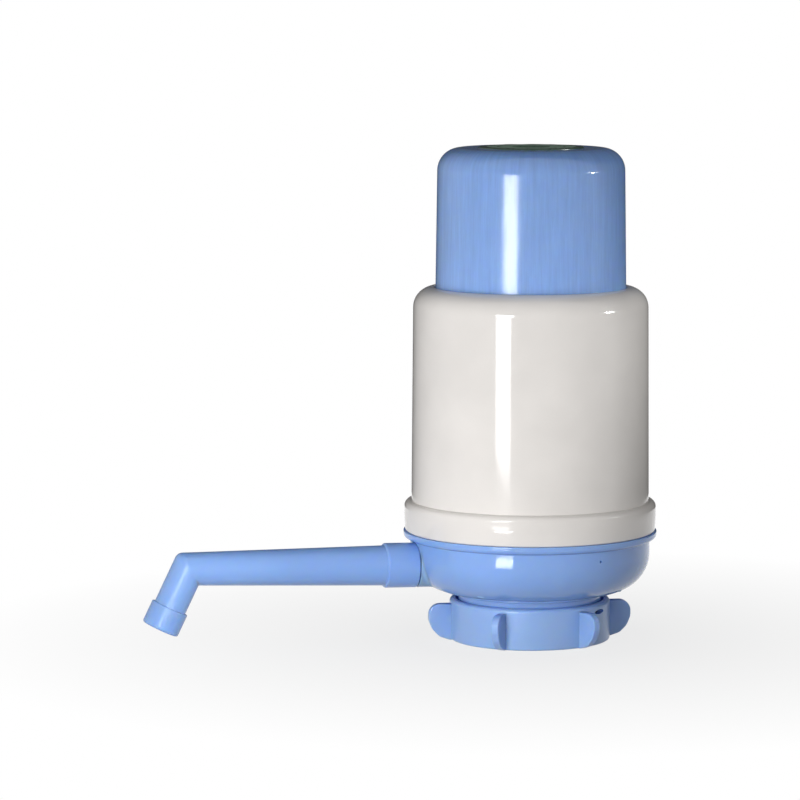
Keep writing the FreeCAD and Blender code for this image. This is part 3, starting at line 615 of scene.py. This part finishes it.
def printed_vinyl():
    """Printed vinyl film under clear varnish: rings of colour on a disc, with print dots and small creases."""
    look, rim, soft = finishes(), sizes().label_radius, 0.1 * MM
    material, add, shader, place = new_material("Vinyl film, printed", {
        "IOR": 1.54, "Coat Weight": 0.4, "Coat Roughness": 0.12})
    parts = add("SeparateXYZ", {0: place}).outputs
    flat = add("CombineXYZ", {0: parts[0], 1: parts[1]})
    radius = add("VectorMath", {"operation": "LENGTH", 0: flat}).outputs["Value"]
    tone = two_tone(add, radius, 0.36 * rim, 0.36 * rim + soft, tuple(look.label_middle), tuple(look.label_field))
    # a thin ring from 0.62 to 0.65 of the way out, and the rim from 0.84
    start, end, outer = (
        add("MapRange", {
            "From Min": share * rim, "From Max": share * rim + soft,
            "To Min": before, "To Max": 1.0 - before, "Value": radius})
        for share, before in ((0.62, 0.0), (0.65, 1.0), (0.84, 0.0)))
    thin = add("Math", {"operation": "MULTIPLY", 0: start, 1: end})
    inked = add("Math", {"operation": "MAXIMUM", 0: thin, 1: outer})
    tone = add("Mix", {"data_type": "RGBA", 7: tuple(look.label_rim), 0: inked, 6: tone}).outputs[2]
    # print dots 0.3 mm apart
    dots = add("TexVoronoi", {"Scale": 3300.0, "Vector": place})
    tone = dappled(add, tone, dots.outputs["Distance"], 0.0, 0.6, 0.93, 1.04)
    # creases 4 mm apart
    crease = add("TexNoise", {"Scale": 260.0, "Detail": 3.0, "Vector": place})
    skin(add, shader, tone, crease, (0.25, 0.4), crease, 0.35, 0.08 * MM)
    return material


made_materials = {}


def finish_of(kind):
    """A material, made the first time that it is asked for, and the record's slot that it belongs to."""
    look = finishes()
    blue, depth = tuple(look.blue), 4 * MM
    slot, maker, *values = {
        "blue": ("blue_plastic", moulded_abs, "ABS, blue, moulded", blue, 0.06, depth),
        "blue_scuffed": ("blue_plastic", moulded_abs, "ABS, blue, moulded and scuffed", blue, 0.08, depth, 0.1),
        "blue_satin": ("blue_plastic", moulded_abs, "ABS, blue, moulded satin", blue, 0.3, depth),
        # the collar's material is the blue plastic with a lightened colour: painted sheen and light, not a paler
        # plastic
        "collar": ("blue_plastic", moulded_abs, "ABS, pale blue, moulded satin", tuple(look.collar), 0.3, depth),
        "white": ("white_plastic", moulded_abs, "ABS, white, moulded", tuple(look.white), 0.08),
        "natural": ("inner_plastic", natural_polypropylene),
        "rubber": ("seal_rubber", nitrile_rubber),
        "spring": ("spring_steel", steel, "Spring steel, drawn wire", 0.22, (900, 900, 5000)),
        "screw": ("screw_steel", steel, "Carbon steel, zinc plated", 0.3, (2500, 2500, 2500)),
        "label": ("label_print", printed_vinyl),
    }[kind]
    if kind not in made_materials:
        made_materials[kind] = maker(*values)
    return made_materials[kind], slot


# Pieces


class PUMP_OT_cap(bpy.types.Operator):
    """Press cap with its label and the stop ring round its foot"""

    bl_idname = "pump.cap"
    bl_label = "Cap"

    def execute(self, context):
        top = 206.8
        ring_piece("press_cap", [
            (37.7, 134), (39.9, 134), (39.9, 149, 60), (39.1, top, 9.5), (0, top), (0, 192), (4.55, 192),
            (4.55, 204.6), (36.9, 204.6, 7.3), (37.7, 149)], "blue_scuffed", "cap", segments=192)
        rim = sizes().label_radius / MM
        label = Shells().lathe([(0, top), (rim, top, 0), (rim, top + 0.4, 0.15), (rim * 0.98, top + 0.45),
                                (0, top + 0.5)], segments=128)
        # the film's face lies in slight waves, 14 and 9 round its rim
        waves = [(14, 0.9, 0.3), (9, 2.6, 0.2)]
        for point in label.points:
            if point.z > top + 0.2:
                reach = math.hypot(point.x, point.y) / rim
                turn = math.atan2(point.y, point.x)
                wave = sum(share * math.cos(count * turn + phase) for count, phase, share in waves)
                point.z += 0.12 * reach * wave
        finish_piece(label.make("visual_cap_label"), "label", "cap", "cap_label")
        ring_piece("cap_stop_ring", [
            (37.7, 132), (43, 132), (43, 140.8), (39.95, 140.8), (39.95, 134), (37.7, 134)], "natural", "cap")
        return {"FINISHED"}


class PUMP_OT_shell(bpy.types.Operator):
    """Outer shell with its crowned band"""

    bl_idname = "pump.shell"
    bl_label = "Outer shell"

    def execute(self, context):
        band, crown = 52.95, sizes().band_crown / MM
        ring_piece("outer_shell", [
            (49.8, 46.2), (band - crown, 46.2, 0.8), (band, 53.3, 45), (band - crown / 4, 58.9, 2.6),
            (49.9, 58.9), (49.2, 148.7, 8.6), (40.3, 148.7), (40.3, 141), (42.5, 141), (42.5, 146.5),
            (47, 146.5, 4), (47.7, 55.7), (49.8, 55.7)], "white", "housing", segments=192)
        return {"FINISHED"}


class PUMP_OT_bowl(bpy.types.Operator):
    """Bowl with its neck, thread, spout boss, water duct, air cup and screw pillars"""

    bl_idname = "pump.bowl"
    bl_label = "Bowl"

    def execute(self, context):
        outline = [
            (28, 9.5), (30.2, 9.5), (30.2, 19.5, 0.4), (32.05, 19.5, 0.4), (31.9, BOWL_FOOT, 0.5),
            (BOWL_SIDE, BOWL_FOOT, BOWL_ROUND), (BOWL_SIDE, LIP_FOOT, 0.45), (LIP_SIDE, 43.6, 1.7),
            (LIP_SIDE, 46.2, 0.35), (49.7, 46.2), (49.7, 53), (48.2, 53), (48.2, 24, 13.8),
            (8.5, 24), (8.5, 38.83), (0, 38.83), (0, 36.33), (4.5, 36.33), (4.5, 27.05), (6.55, 27.05),
            (6.55, 21), (27.6, 21), (27.6, 19), (28, 19)]
        cup = Shells().lathe(outline, segments=192).make("bowl_cup")
        breather = Quaternion(UP, math.radians(-71)) @ Vector((1, 0, 0))
        drill(cup, outline,
              (along(SPOUT_ROOT + SPOUT_WAY * BOSS_FACE, SPOUT_WAY), 9.85, 16),
              (along(UP * 38.7 + breather * 40, breather), 0.5, 15),
              (at(PORT, 0, 20), 3, 6))
        rest = Shells()
        rest.rings(*boss_rows(), place=along_spout())
        rest.lathe([(4.5, 41.6), (9.1, 41.6), (9.1, 49.5), (6.6, 49.5), (6.6, 52.82), (5.55, 52.82),
                    (5.55, 54.38), (6.6, 54.38), (6.6, 61.6), (4.5, 61.6)],
                   along(SPOUT_ROOT, SPOUT_WAY), segments=96)
        rest.lathe([(4.5, 6), (7, 6), (7, 44), (4.5, 44)], along(SPOUT_ROOT, SPOUT_WAY), segments=64)
        rest.lathe([(6, 22.5), (8.2, 22.5), (8.2, 42.5), (6, 42.5)], at(PORT), segments=64)
        finish_piece(joined("visual_base_bowl", cup, rest.make("bowl_rest")), "blue", "housing", "base_bowl")
        pillar = Shells().lathe([(1.3, 23), (2.8, 23), (2.8, 43.5), (1.3, 43.5)], at(PILLARS), segments=32)
        pillars = grow_ring(pillar.make("visual_bowl_pillars"), "blue", 4, math.radians(45))
        finish_piece(pillars, "blue", "housing")
        thread_piece("visual_neck_thread", 30.2, 1, foot=11.2, height=4, body="housing")
        return {"FINISHED"}


def along_spout():
    """Frame of the spout's own axis, with the second axis level and the third upright."""
    turn = Matrix((SPOUT_WAY, Vector((0, 1, 0)), SPOUT_UP)).transposed().to_4x4()
    return Matrix.Translation(SPOUT_ROOT) @ turn


def bowl_reach(height):
    """Radius of the bowl's outside at a height."""
    if height >= LIP_FOOT:
        return LIP_SIDE
    below = BOWL_FOOT + BOWL_ROUND - height
    if below <= 0:
        return BOWL_SIDE
    return BOWL_SIDE - BOWL_ROUND + math.sqrt(max(0.0, BOWL_ROUND ** 2 - below ** 2))


def last_true(low, high, test):
    """The number between two where a test stops being true."""
    for _ in range(40):
        middle = (low + high) / 2
        low, high = (middle, high) if test(middle) else (low, middle)
    return low


def boss_rows():
    """Rows round the spout's axis: boss face, wall, fillet and a last row inside the bowl's wall."""
    fillet = sizes().boss_fillet / MM
    radius, count, arc_steps, wall_steps = 9.35, 96, 8, 24
    place = along_spout()
    columns, facing = [], []
    for step in range(count):
        angle = math.tau * step / count
        across, upward = math.cos(angle), math.sin(angle)

        def in_bowl(distance, out):
            spot = place @ Vector((distance, out * across, out * upward))
            return spot.z >= BOWL_FOOT and math.hypot(spot.x, spot.y) < bowl_reach(spot.z)

        def gap(distance, spot):
            return math.hypot(distance - spot[0], radius + fillet - spot[1])

        # the bowl's outside, as distances along the spout and out from its axis
        outs = [radius + fillet * 1.6 * k / wall_steps for k in range(wall_steps + 1)]
        wall = [(last_true(20.0, 60.0, lambda distance: in_bowl(distance, out)), out) for out in outs]
        # the fillet's centre lies a radius away from both the boss and the bowl
        middle = last_true(30.0, 60.0, lambda distance: distance <= wall[0][0] - 1
                           or min(gap(distance, spot) for spot in wall) <= fillet)
        touch = min(wall, key=lambda spot: gap(middle, spot))
        first, last = math.radians(-90), math.atan2(touch[1] - radius - fillet, touch[0] - middle)
        if last > 0:
            last -= math.tau
        column = [(BOSS_FACE, radius - 2.6, 1, 0), (BOSS_FACE, radius - 0.5, 1, 0),
                  (BOSS_FACE - 0.15, radius - 0.15, 0.7, 0.7), (BOSS_FACE - 0.5, radius, 0, 1)]
        for k in range(arc_steps + 1):
            turn = first + (last - first) * k / arc_steps
            column.append((middle + fillet * math.cos(turn), radius + fillet + fillet * math.sin(turn),
                           -math.cos(turn), -math.sin(turn)))
        end = column[-1]
        column.append((end[0] - 0.8 * end[2], end[1] - 0.8 * end[3], end[2], end[3]))
        column.append((38.0, 4.0, -1, 0))
        columns.append([(min(s, BOSS_FACE), out * across, out * upward) for s, out, _, _ in column])
        facing.append([(ns, no * across, no * upward) for _, _, ns, no in column])
    return [list(row) for row in zip(*columns)], [list(row) for row in zip(*facing)]


def thread_piece(name, radius, outward, foot, height, body):
    """Right-hand thread ridge on a round wall; outward is 1 on the neck and -1 in the collar."""
    pitch = sizes().thread_pitch
    piece = grow(new_object(name, bpy.data.meshes.new(name)), thread_tree(), "blue", {
        "Radius": (radius + outward * 0.3) * MM, "Pitch": pitch, "Turns": height * MM / pitch, "Foot": foot * MM,
        "Root width": 1.4 * MM, "Crest width": 0.8 * MM, "Depth": 1.0 * MM,
        "Profile turn": math.radians(-90) * outward})
    return finish_piece(piece, "blue", body)


class PUMP_OT_collar(bpy.types.Operator):
    """Collar nut with its grips, thread, washer and rubber ring"""

    bl_idname = "pump.collar"
    bl_label = "Collar"

    def execute(self, context):
        outline = [(28, 0), (33.8, 0, 0.8), (33.8, 17.3, 1.6), (31.2, 17.3), (31.2, 2.4), (28, 2.4)]
        nut = Shells().lathe(outline, segments=192).make("visual_collar_nut")
        # a slot 7.2 mm long and 2 mm high, from a round cutter stretched sideways
        slot = Quaternion(UP, math.radians(-46.5)) @ Vector((1, 0, 0))
        stretch = Matrix.Diagonal((3.6, 1, 1, 1))
        drill(nut, outline, (along(UP * 13.9 + slot * 30.8, slot) @ stretch, 1, 6))
        finish_piece(nut, "collar", "collar", "collar_nut")
        grips = grow_ring(grip_blade(), "collar", sizes().grip_count, sizes().grip_turn)
        finish_piece(grips, "collar", "collar")
        thread_piece("visual_collar_thread", 31.2, -1, foot=9.7, height=5.4, body="collar")
        ring_piece("slip_washer", [(28.3, 2.4), (31, 2.4), (31, 3.2), (28.3, 3.2)], "natural", "clamp")
        ring_piece("grip_ring", [(28.3, 3.2), (31, 3.2), (31, 7.2, 0.8), (28.3, 7.2, 0.8)], "rubber", "clamp")
        return {"FINISHED"}


def grip_blade():
    """One grip as a plate across +X, with a round tip, a curved tail and soft edges."""
    root, top = 32.4, 15.4
    points, _ = rounded([(root, 0.05, 0), (34.5, 0.05, 1), (38.6, 1.4, 4), (41.6, 4.4, 6), (43.25, 8.4, 6),
                         (43.25, top, 4.8), (root, top, 0)])
    half = sizes().grip_thickness / MM / 2
    shape = bmesh.new()
    near, far = ([shape.verts.new((p.x * MM, side * half * MM, p.y * MM)) for p in points] for side in (-1, 1))
    shape.faces.new(near)
    shape.faces.new(list(reversed(far)))
    for i in range(len(points)):
        k = (i + 1) % len(points)
        shape.faces.new((near[k], near[i], far[i], far[k]))
    bmesh.ops.remove_doubles(shape, verts=shape.verts, dist=1e-7)
    # the edges that run round the plate's two faces, but for its root in the collar's wall
    rim = [edge for edge in shape.edges
           if abs(edge.verts[0].co.y - edge.verts[1].co.y) < TINY
           and all(vert.co.x > (root + 0.2) * MM or vert.co.z > (top - 0.1) * MM for vert in edge.verts)]
    bmesh.ops.bevel(shape, geom=rim, offset=0.45 * MM, segments=3, profile=0.5, affect="EDGES")
    bmesh.ops.recalc_face_normals(shape, faces=shape.faces)
    mesh = bpy.data.meshes.new("visual_collar_grips")
    shape.to_mesh(mesh)
    shape.free()
    mesh.shade_smooth()
    blade = new_object("visual_collar_grips", mesh)
    blade.modifiers.new("Flat sides", "WEIGHTED_NORMAL").weight = 80
    return blade


class PUMP_OT_spout(bpy.types.Operator):
    """Spout with its bell, bend and nozzle, and the ring that seals it"""

    bl_idname = "pump.spout"
    bl_label = "Spout"

    def execute(self, context):
        tube = Shells().rings(*spout_rows())
        finish_piece(tube.make("visual_spout_tube"), "blue_satin", "spout", "spout_tube")
        ring_piece("nozzle_tip", [
            (6.9, 17.45), (7.9, 17.45, 0.4), (7.9, 27.4, 1.0), (5, 27.4, 0.6), (5, 21.45), (6.9, 21.45)],
            "blue_satin", "spout", along(ELBOW, NOZZLE_WAY), segments=96)
        turns = [math.tau * step / 24 for step in range(24)]
        ring_piece("spout_oring", [(6.1 + 0.53 * math.cos(a), 53.6 + 0.53 * math.sin(a), 0) for a in turns],
                   "rubber", "housing", along(SPOUT_ROOT, SPOUT_WAY), segments=64)
        return {"FINISHED"}


def spout_rows():
    """Rows round the spout's tube, out along its skin to the nozzle and back through its bore."""
    level = Vector((0, 1, 0))
    leg_out = Vector((-math.cos(NOZZLE_LEAN), 0, math.sin(NOZZLE_LEAN)))
    mitre = (SPOUT_UP + leg_out) / (1 + SPOUT_UP.dot(leg_out))
    bend = SPOUT_UP.angle(leg_out)
    swing = SPOUT_UP.cross(leg_out).normalized()
    around = [-math.tau * step / 96 for step in range(96)]
    bore = 5.2

    def straight(origin, way, outward, *corners):
        rows, given = [], []
        rays = [level * math.cos(a) + outward * math.sin(a) for a in around]
        for point, normal in zip(*rounded(corners, False)):
            rows.append([origin + way * point.y + ray * point.x for ray in rays])
            given.append([way * normal.y + ray * normal.x for ray in rays])
        return rows, given

    def elbow(radius, outside, inside, sign):
        rows, given = [], []
        for step in range(11):
            toward = Quaternion(swing, bend * step / 10) @ SPOUT_UP
            row, faces = [], []
            for a in around:
                share = (1 + math.sin(a)) / 2
                curve = inside + (outside - inside) * share * share * (3 - 2 * share)
                row.append(ELBOW + level * radius * math.cos(a) + mitre * (radius * math.sin(a) - curve)
                           + toward * curve)
                faces.append((level * math.cos(a) + toward * math.sin(a)) * sign)
            rows.append(row)
            given.append(faces)
        return rows, given

    parts = (
        straight(SPOUT_ROOT, SPOUT_WAY, SPOUT_UP, (6.65, 49.9, 0.2), (9.35, 49.9, 0.5), (9.35, 63.7, 0.8),
                 (8.4, 63.7, 0.2), (6.9, 144, 0)),
        elbow(6.85, sizes().elbow_round / MM, sizes().elbow_crease / MM, 1),
        straight(ELBOW, NOZZLE_WAY, leg_out, (6.85, 2.7, 0), (6.85, 21.45, 0.2), (bore, 21.45, 0.2),
                 (bore, 2.7, 0)),
        [rows[::-1] for rows in elbow(bore, 2.4, 0.5, -1)],
        straight(SPOUT_ROOT, SPOUT_WAY, SPOUT_UP, (bore, 144.4, 0), (bore, 61.9, 0.3), (6.65, 61.9, 0.2),
                 (6.65, 49.9, 0.2)))
    return sum((rows for rows, _ in parts), []), sum((given for _, given in parts), [])


class PUMP_OT_cylinder(bpy.types.Operator):
    """Air cylinder with its screws, spring, delivery valve and seal"""

    bl_idname = "pump.cylinder"
    bl_label = "Air cylinder"

    def execute(self, context):
        outline = [(0, 43.5), (44.4, 43.5), (44.4, 46), (36, 46), (36, 116), (34, 116), (34, 46), (0, 46)]
        barrel = Shells().lathe(outline).make("visual_air_cylinder")
        drill(barrel, outline, *port_holes(42), *[
            (Matrix.Rotation(math.radians(45 + 90 * k), 4, "Z") @ at(PILLARS, 0, 42), 1.3, 6) for k in range(4)])
        finish_piece(barrel, "natural", "housing", "air_cylinder")
        screw = Shells().lathe([
            (0, 31), (0.5, 31, 0), (1.25, 32.2, 0), (1.25, 46, 0), (2.6, 46, 0.1), (2.6, 47, 0.5),
            (1.2, 47.8, 0.3), (0.9, 47.2, 0), (0, 47)], at(PILLARS), segments=32)
        screws = grow_ring(screw.make("visual_cylinder_screws"), "screw", 4, math.radians(45))
        finish_piece(screws, "screw", "housing", "cylinder_screws")
        mushroom("delivery_valve", 43.5, "delivery")
        ring_piece("delivery_seal", [(6, 42.5), (8.2, 42.5), (8.2, 43.5), (6, 43.5)],
                   "rubber", "housing", at(PORT), segments=64)
        spring_piece()
        return {"FINISHED"}


def port_holes(foot):
    """Valve guide and air holes of a port, as cutters through a 2.5 mm plate."""
    spots = [(PORT, 0, 1.55)] + [
        (PORT + 3.4 * math.cos(a), 3.4 * math.sin(a), 0.9) for a in (0, math.pi / 2, math.pi, math.pi * 1.5)]
    return [(at(x, y, foot), radius, 6) for x, y, radius in spots]


def mushroom(node, plate, body):
    """Mushroom valve that hangs in a port."""
    ring_piece(node, [
        (0, plate - 2), (5, plate - 2, 0.4), (5, plate - 0.8, 0.2), (1.5, plate - 0.8, 0.4), (1.5, plate + 2.5),
        (2.3, plate + 2.5, 0.2), (1.3, plate + 3.5, 0.3), (0, plate + 3.5)],
        "rubber", body, at(PORT), segments=64)


def spring_piece():
    """Return spring between the cylinder's floor and the piston, made at its rest length; it closes up as the cap
    goes down.
    """
    name = "visual_return_spring"
    wire = sizes().spring_wire
    piece = grow(new_object(name, bpy.data.meshes.new(name)), spring_tree(), "spring", {
        "Radius": 27 * MM, "Foot": 46 * MM + wire, "Height": 58 * MM - 2 * wire, "Turns": sizes().spring_turns,
        "Wire radius": wire})
    finish_piece(piece, "spring", "housing", "return_spring")
    # 58 mm long at rest, and 13 mm at the end of the stroke of 45 mm
    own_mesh(piece)


class PUMP_OT_piston(bpy.types.Operator):
    """Piston on its rod, with its seal, screw and intake valve"""

    bl_idname = "pump.piston"
    bl_label = "Piston"

    def execute(self, context):
        outline = [(1.55, 104), (33.6, 104), (33.6, 105.9), (32.6, 105.9), (32.6, 108.1), (33.6, 108.1),
                   (33.6, 110), (31.4, 110), (31.4, 106.5), (9, 106.5), (9, 112), (7.05, 112), (7.05, 106.5),
                   (1.55, 106.5)]
        plate = Shells().lathe(outline).make("visual_piston")
        drill(plate, outline, *port_holes(102))
        finish_piece(plate, "natural", "cap", "piston")
        ring_piece("piston_seal", [(32.65, 105.95), (33.95, 105.95, 0.2), (33.95, 108.05, 0.2), (32.65, 108.05)],
                   "rubber", "cap")
        ring_piece("piston_rod", [
            (1.55, 106.5), (7, 106.5), (7, 204.6), (4.6, 204.6), (4.6, 122), (0, 122), (0, 117.5), (1.55, 117.5)],
            "natural", "cap", segments=96)
        ring_piece("piston_screw", [
            (0, 103), (1.2, 102.8, 0), (1.6, 102.2, 0.2), (3.6, 103, 0.6), (3.6, 104, 0.1), (1.5, 104, 0),
            (1.5, 114.8, 0), (0.5, 116, 0), (0, 116)], "screw", "cap", segments=48)
        mushroom("intake_valve", 104, "intake")
        return {"FINISHED"}


class PUMP_OT_mouth(bpy.types.Operator):
    """Mouth gasket and dip tube adapter under the bowl's floor"""

    bl_idname = "pump.mouth"
    bl_label = "Mouth gasket and adapter"

    def execute(self, context):
        ring_piece("mouth_gasket", [(21, 19), (27.55, 19), (27.55, 21), (21, 21)], "rubber", "housing")
        ring_piece("dip_tube_adapter", [
            (5.05, 19.05, 0.25), (8.2, 19.05), (8.2, 20.4), (6.5, 20.4), (6.5, 27), (4, 27), (4, 26.05),
            (5.05, 26.05)], "natural", "housing", segments=96)
        ring_piece("adapter_seal", [(6.55, 20.4, 0.1), (8.2, 20.4, 0.1), (8.2, 21, 0.1), (6.55, 21, 0.1)],
                   "rubber", "housing", segments=96)
        return {"FINISHED"}


# Stage


class PUMP_OT_stage(bpy.types.Operator):
    """Pale floor, soft lamps, white surroundings and the camera"""

    bl_idname = "pump.stage"
    bl_label = "Stage"

    def execute(self, context):
        scene = context.scene
        far = 30
        mesh = bpy.data.meshes.new("floor")
        mesh.from_pydata([(-far, -far, 0), (far, -far, 0), (far, far, 0), (-far, far, 0)], [], [(0, 1, 2, 3)])
        mesh.materials.append(studio_floor())
        new_object("floor", mesh)
        surroundings(scene)
        lamp("key_strip", (-0.270, -0.322, 0.095), (0, 0, 0.095), (0.118, 0.19), 0.84).visible_glossy = False
        lamp("low_fill", (-0.205, -0.235, 0.014), (0, 0, 0.018), (0.16, 0.02), 0.17).visible_glossy = False
        narrow = lamp("right_lamp", (0.745, -0.338, 0.24), (0, 0, 0.13), (0.18, 0.06), 0.03)
        narrow.data.spread = math.radians(16)
        # the long highlights on the cap and the shell, the lower one narrow and faint at its foot
        light_card("far_card", 0.42,
                   [(0.122, -0.059, 0.059, 17), (0.19, -0.059, 0.059, 17)],
                   [(0.042, -0.059, 0.041, 9), (0.1135, -0.059, 0.041, 13)],
                   [(0.02, 0.016, 0.041, 1.2), (0.042, -0.059, 0.041, 9)],
                   [(0.006, 0.03, 0.041, 0.4), (0.02, 0.016, 0.041, 1.2)])
        # the short highlights on the bowl and the band
        light_card("near_card", 0.25,
                   [(0.0055, -0.024, 0.042, 18), (0.0098, -0.024, 0.042, 24)],
                   [(0.015, -0.031, 0.03, 7), (0.029, -0.031, 0.03, 7)])
        dark_card()
        lens = bpy.data.cameras.new("camera")
        lens.lens = 176.8
        lens.sensor_width = 36
        lens.clip_end = 200
        lens.dof.use_dof = False
        camera = new_object("camera", lens)
        look(camera, (-0.4635, -1.5734, 0.2877), (-0.0530, 0.0137, 0.1009))
        scene.camera = camera
        scene.view_settings.view_transform = "Standard"
        return {"FINISHED"}


def look(made, place, aim):
    """Put a lamp or camera in a place, aimed at a point."""
    made.location = place
    made.rotation_euler = (Vector(aim) - Vector(place)).to_track_quat("-Z", "Y").to_euler()


def lamp(name, place, aim, size, watts):
    """A rectangular soft lamp that the camera doesn't see."""
    light = bpy.data.lights.new(name, "AREA")
    light.shape = "RECTANGLE"
    light.size, light.size_y = size
    light.energy = watts
    made = new_object(name, light)
    look(made, place, aim)
    made.visible_camera = False
    return made


def glowing(name):
    """A material that shines and reflects nothing, without its strength."""
    return new_material(name, {
        "Base Color": (0, 0, 0, 1), "Specular IOR Level": 0.0, "Emission Color": (1, 1, 1, 1)})


def only_gloss(name, mesh, material):
    """Put a card on the stage that nothing but a glossy reflection sees."""
    mesh.materials.append(material)
    card = new_object(name, mesh)
    card.visible_camera = card.visible_diffuse = card.visible_shadow = card.visible_transmission = False


def light_card(name, distance, *panes):
    """Upright card of shining panes, which only gloss sees, for the highlights.

    A pane's foot and top are each (height, left, right, strength), in metres up from the floor and along the card.
    """
    way = Vector((-0.6425, -0.7663, 0))
    across = Vector((-way.y, way.x, 0))
    corners = [(row[side], row[0], row[3]) for pane in panes
               for row, side in zip((pane[0], pane[1], pane[1], pane[0]), (1, 1, 2, 2))]
    mesh = bpy.data.meshes.new(name)
    mesh.from_pydata([way * distance + across * side + UP * height for side, height, _ in corners], [],
                     [range(4 * k, 4 * k + 4) for k in range(len(panes))])
    mesh.attributes.new("level", "FLOAT", "POINT").data.foreach_set("value", [corner[2] for corner in corners])
    material, add, shader, _ = glowing("Lamp cloth, " + name.replace("_", " "))
    set_up(shader, {"Emission Strength": add("Attribute", {"attribute_name": "level"}).outputs["Fac"]})
    only_gloss(name, mesh, material)


def dark_card():
    """Card curved round behind the pump, dark in its middle, which only gloss sees, to draw the edges."""
    middle, darkest = math.radians(75.5), math.radians(60)
    reach, foot, top, strips = 0.45, 0.001, 1.3, 38
    angles = [middle + math.radians(-95 + 190 * step / strips) for step in range(strips + 1)]
    points = [(reach * math.cos(a), reach * math.sin(a), z) for z in (foot, top) for a in angles] + [(0, 0, top)]
    above, roof = len(angles), 2 * len(angles)
    mesh = bpy.data.meshes.new("dark_card")
    mesh.from_pydata(points, [], [(i, i + above, i + above + 1, i + 1) for i in range(strips)]
                     + [(i + above, roof, i + above + 1) for i in range(strips)])
    material, add, shader, place = glowing("Card, grey to white")
    # 1 at the darkest place and 0 a quarter turn away from it
    way = (math.cos(darkest) / reach, math.sin(darkest) / reach, 0)
    behind = add("VectorMath", {"operation": "DOT_PRODUCT", 0: place, 1: way}).outputs["Value"]
    side = add("MapRange", {"From Min": 0.8, "From Max": -0.05, "To Min": 0.05, "Value": behind})
    height = add("SeparateXYZ", {0: place}).outputs[2]
    low = add("MapRange", {"From Min": 0.35, "From Max": 0.9, "To Min": 1.0, "To Max": 0.03, "Value": height})
    set_up(shader, {"Emission Strength": add("Math", {"operation": "MULTIPLY", 0: side, 1: low})})
    only_gloss("dark_card", mesh, material)


def seen_white(add):
    """1 where the camera, gloss or glass looks at it, and 0 where it only lights the pump."""
    path = add("LightPath").outputs
    seen = path["Is Camera Ray"]
    for ray in ("Is Glossy Ray", "Is Transmission Ray"):
        seen = add("Math", {"operation": "MAXIMUM", 0: seen, 1: path[ray]})
    return seen


def studio_floor():
    """Painted board: a matt pale floor that fades to white away from the pump."""
    base = tuple(finishes().floor)
    material, add, shader, place = new_material("Painted board, matt", {
        "Roughness": 0.8, "Specular IOR Level": 0.2})
    # fibres 3 mm long
    fibre = add("TexNoise", {"Scale": 300.0, "Detail": 3.0, "Vector": place})
    set_up(shader, {"Base Color": two_tone(add, fibre, 0.3, 0.7, scaled(base, 0.995), base)})
    away = add("VectorMath", {"operation": "LENGTH", 0: place}).outputs["Value"]
    fade = add("MapRange", {"From Min": 0.05, "From Max": 0.25, "To Min": 0.8, "Value": away})
    share = add("Math", {"operation": "MULTIPLY", 0: seen_white(add), 1: fade})
    white = add("Emission", {"Color": (1, 1, 1, 1), "Strength": 1.0})
    mix = add("MixShader", {0: share, 1: shader, 2: white})
    set_up(material.node_tree.nodes["Material Output"], {"Surface": mix})
    return material


def surroundings(scene):
    """White where the camera, gloss or glass sees them, and a plain grey that fills the shadows."""
    world = scene.world = bpy.data.worlds.new("Surroundings")
    world.use_nodes = True
    world.node_tree.nodes.clear()
    add = functools.partial(add_node, world.node_tree)
    way = add("TexCoord").outputs["Generated"]
    height = add("SeparateXYZ", {0: way}).outputs[2]
    rightward = add("VectorMath", {"operation": "DOT_PRODUCT", 1: (0.968, -0.25, 0), 0: way})
    upper = add("MapRange", {"From Max": 0.4, "To Min": 0.95, "To Max": 0.28, "Value": height})
    across = add("MapRange", {"From Min": -1, "To Min": 1.3, "To Max": 0.85, "Value": rightward.outputs["Value"]})
    level = add("Math", {"operation": "MULTIPLY", 0: upper, 1: across})
    fill = add("Background", {"Color": (1, 1, 1, 1), "Strength": level})
    white = add("Background", {"Color": (1, 1, 1, 1), "Strength": 1.0})
    mix = add("MixShader", {0: seen_white(add), 1: fill, 2: white})
    add("OutputWorld", {"Surface": mix})


# Add-on


OPERATORS = (PUMP_OT_stage, PUMP_OT_shell, PUMP_OT_cap, PUMP_OT_bowl, PUMP_OT_collar, PUMP_OT_spout,
             PUMP_OT_cylinder, PUMP_OT_piston, PUMP_OT_mouth)


class PUMP_PT_panel(bpy.types.Panel):
    """Sizes, finishes and a button for each group of pieces"""

    bl_idname = "PUMP_PT_panel"
    bl_label = "Jug pump"
    bl_space_type = "VIEW_3D"
    bl_region_type = "UI"
    bl_category = "Jug pump"

    def draw(self, context):
        for group in (context.scene.pump_sizes, context.scene.pump_finishes):
            box = self.layout.box()
            for name in group.bl_rna.properties.keys():
                if name not in ("rna_type", "name"):
                    box.prop(group, name)
        for operator in OPERATORS:
            self.layout.operator(operator.bl_idname)


CLASSES = (PumpFinishes, PumpSizes, *OPERATORS, PUMP_PT_panel)


def register():
    for cls in CLASSES:
        bpy.utils.register_class(cls)
    bpy.types.Scene.pump_finishes = bpy.props.PointerProperty(type=PumpFinishes)
    bpy.types.Scene.pump_sizes = bpy.props.PointerProperty(type=PumpSizes)


def unregister():
    del bpy.types.Scene.pump_sizes
    del bpy.types.Scene.pump_finishes
    for cls in reversed(CLASSES):
        bpy.utils.unregister_class(cls)


def main():
    register()
    bpy.ops.pump.stage()
    bpy.ops.pump.shell()
    bpy.ops.pump.cap()
    bpy.ops.pump.bowl()
    bpy.ops.pump.collar()
    bpy.ops.pump.spout()
    bpy.ops.pump.cylinder()
    bpy.ops.pump.piston()
    bpy.ops.pump.mouth()


if __name__ == "__main__":
    main()
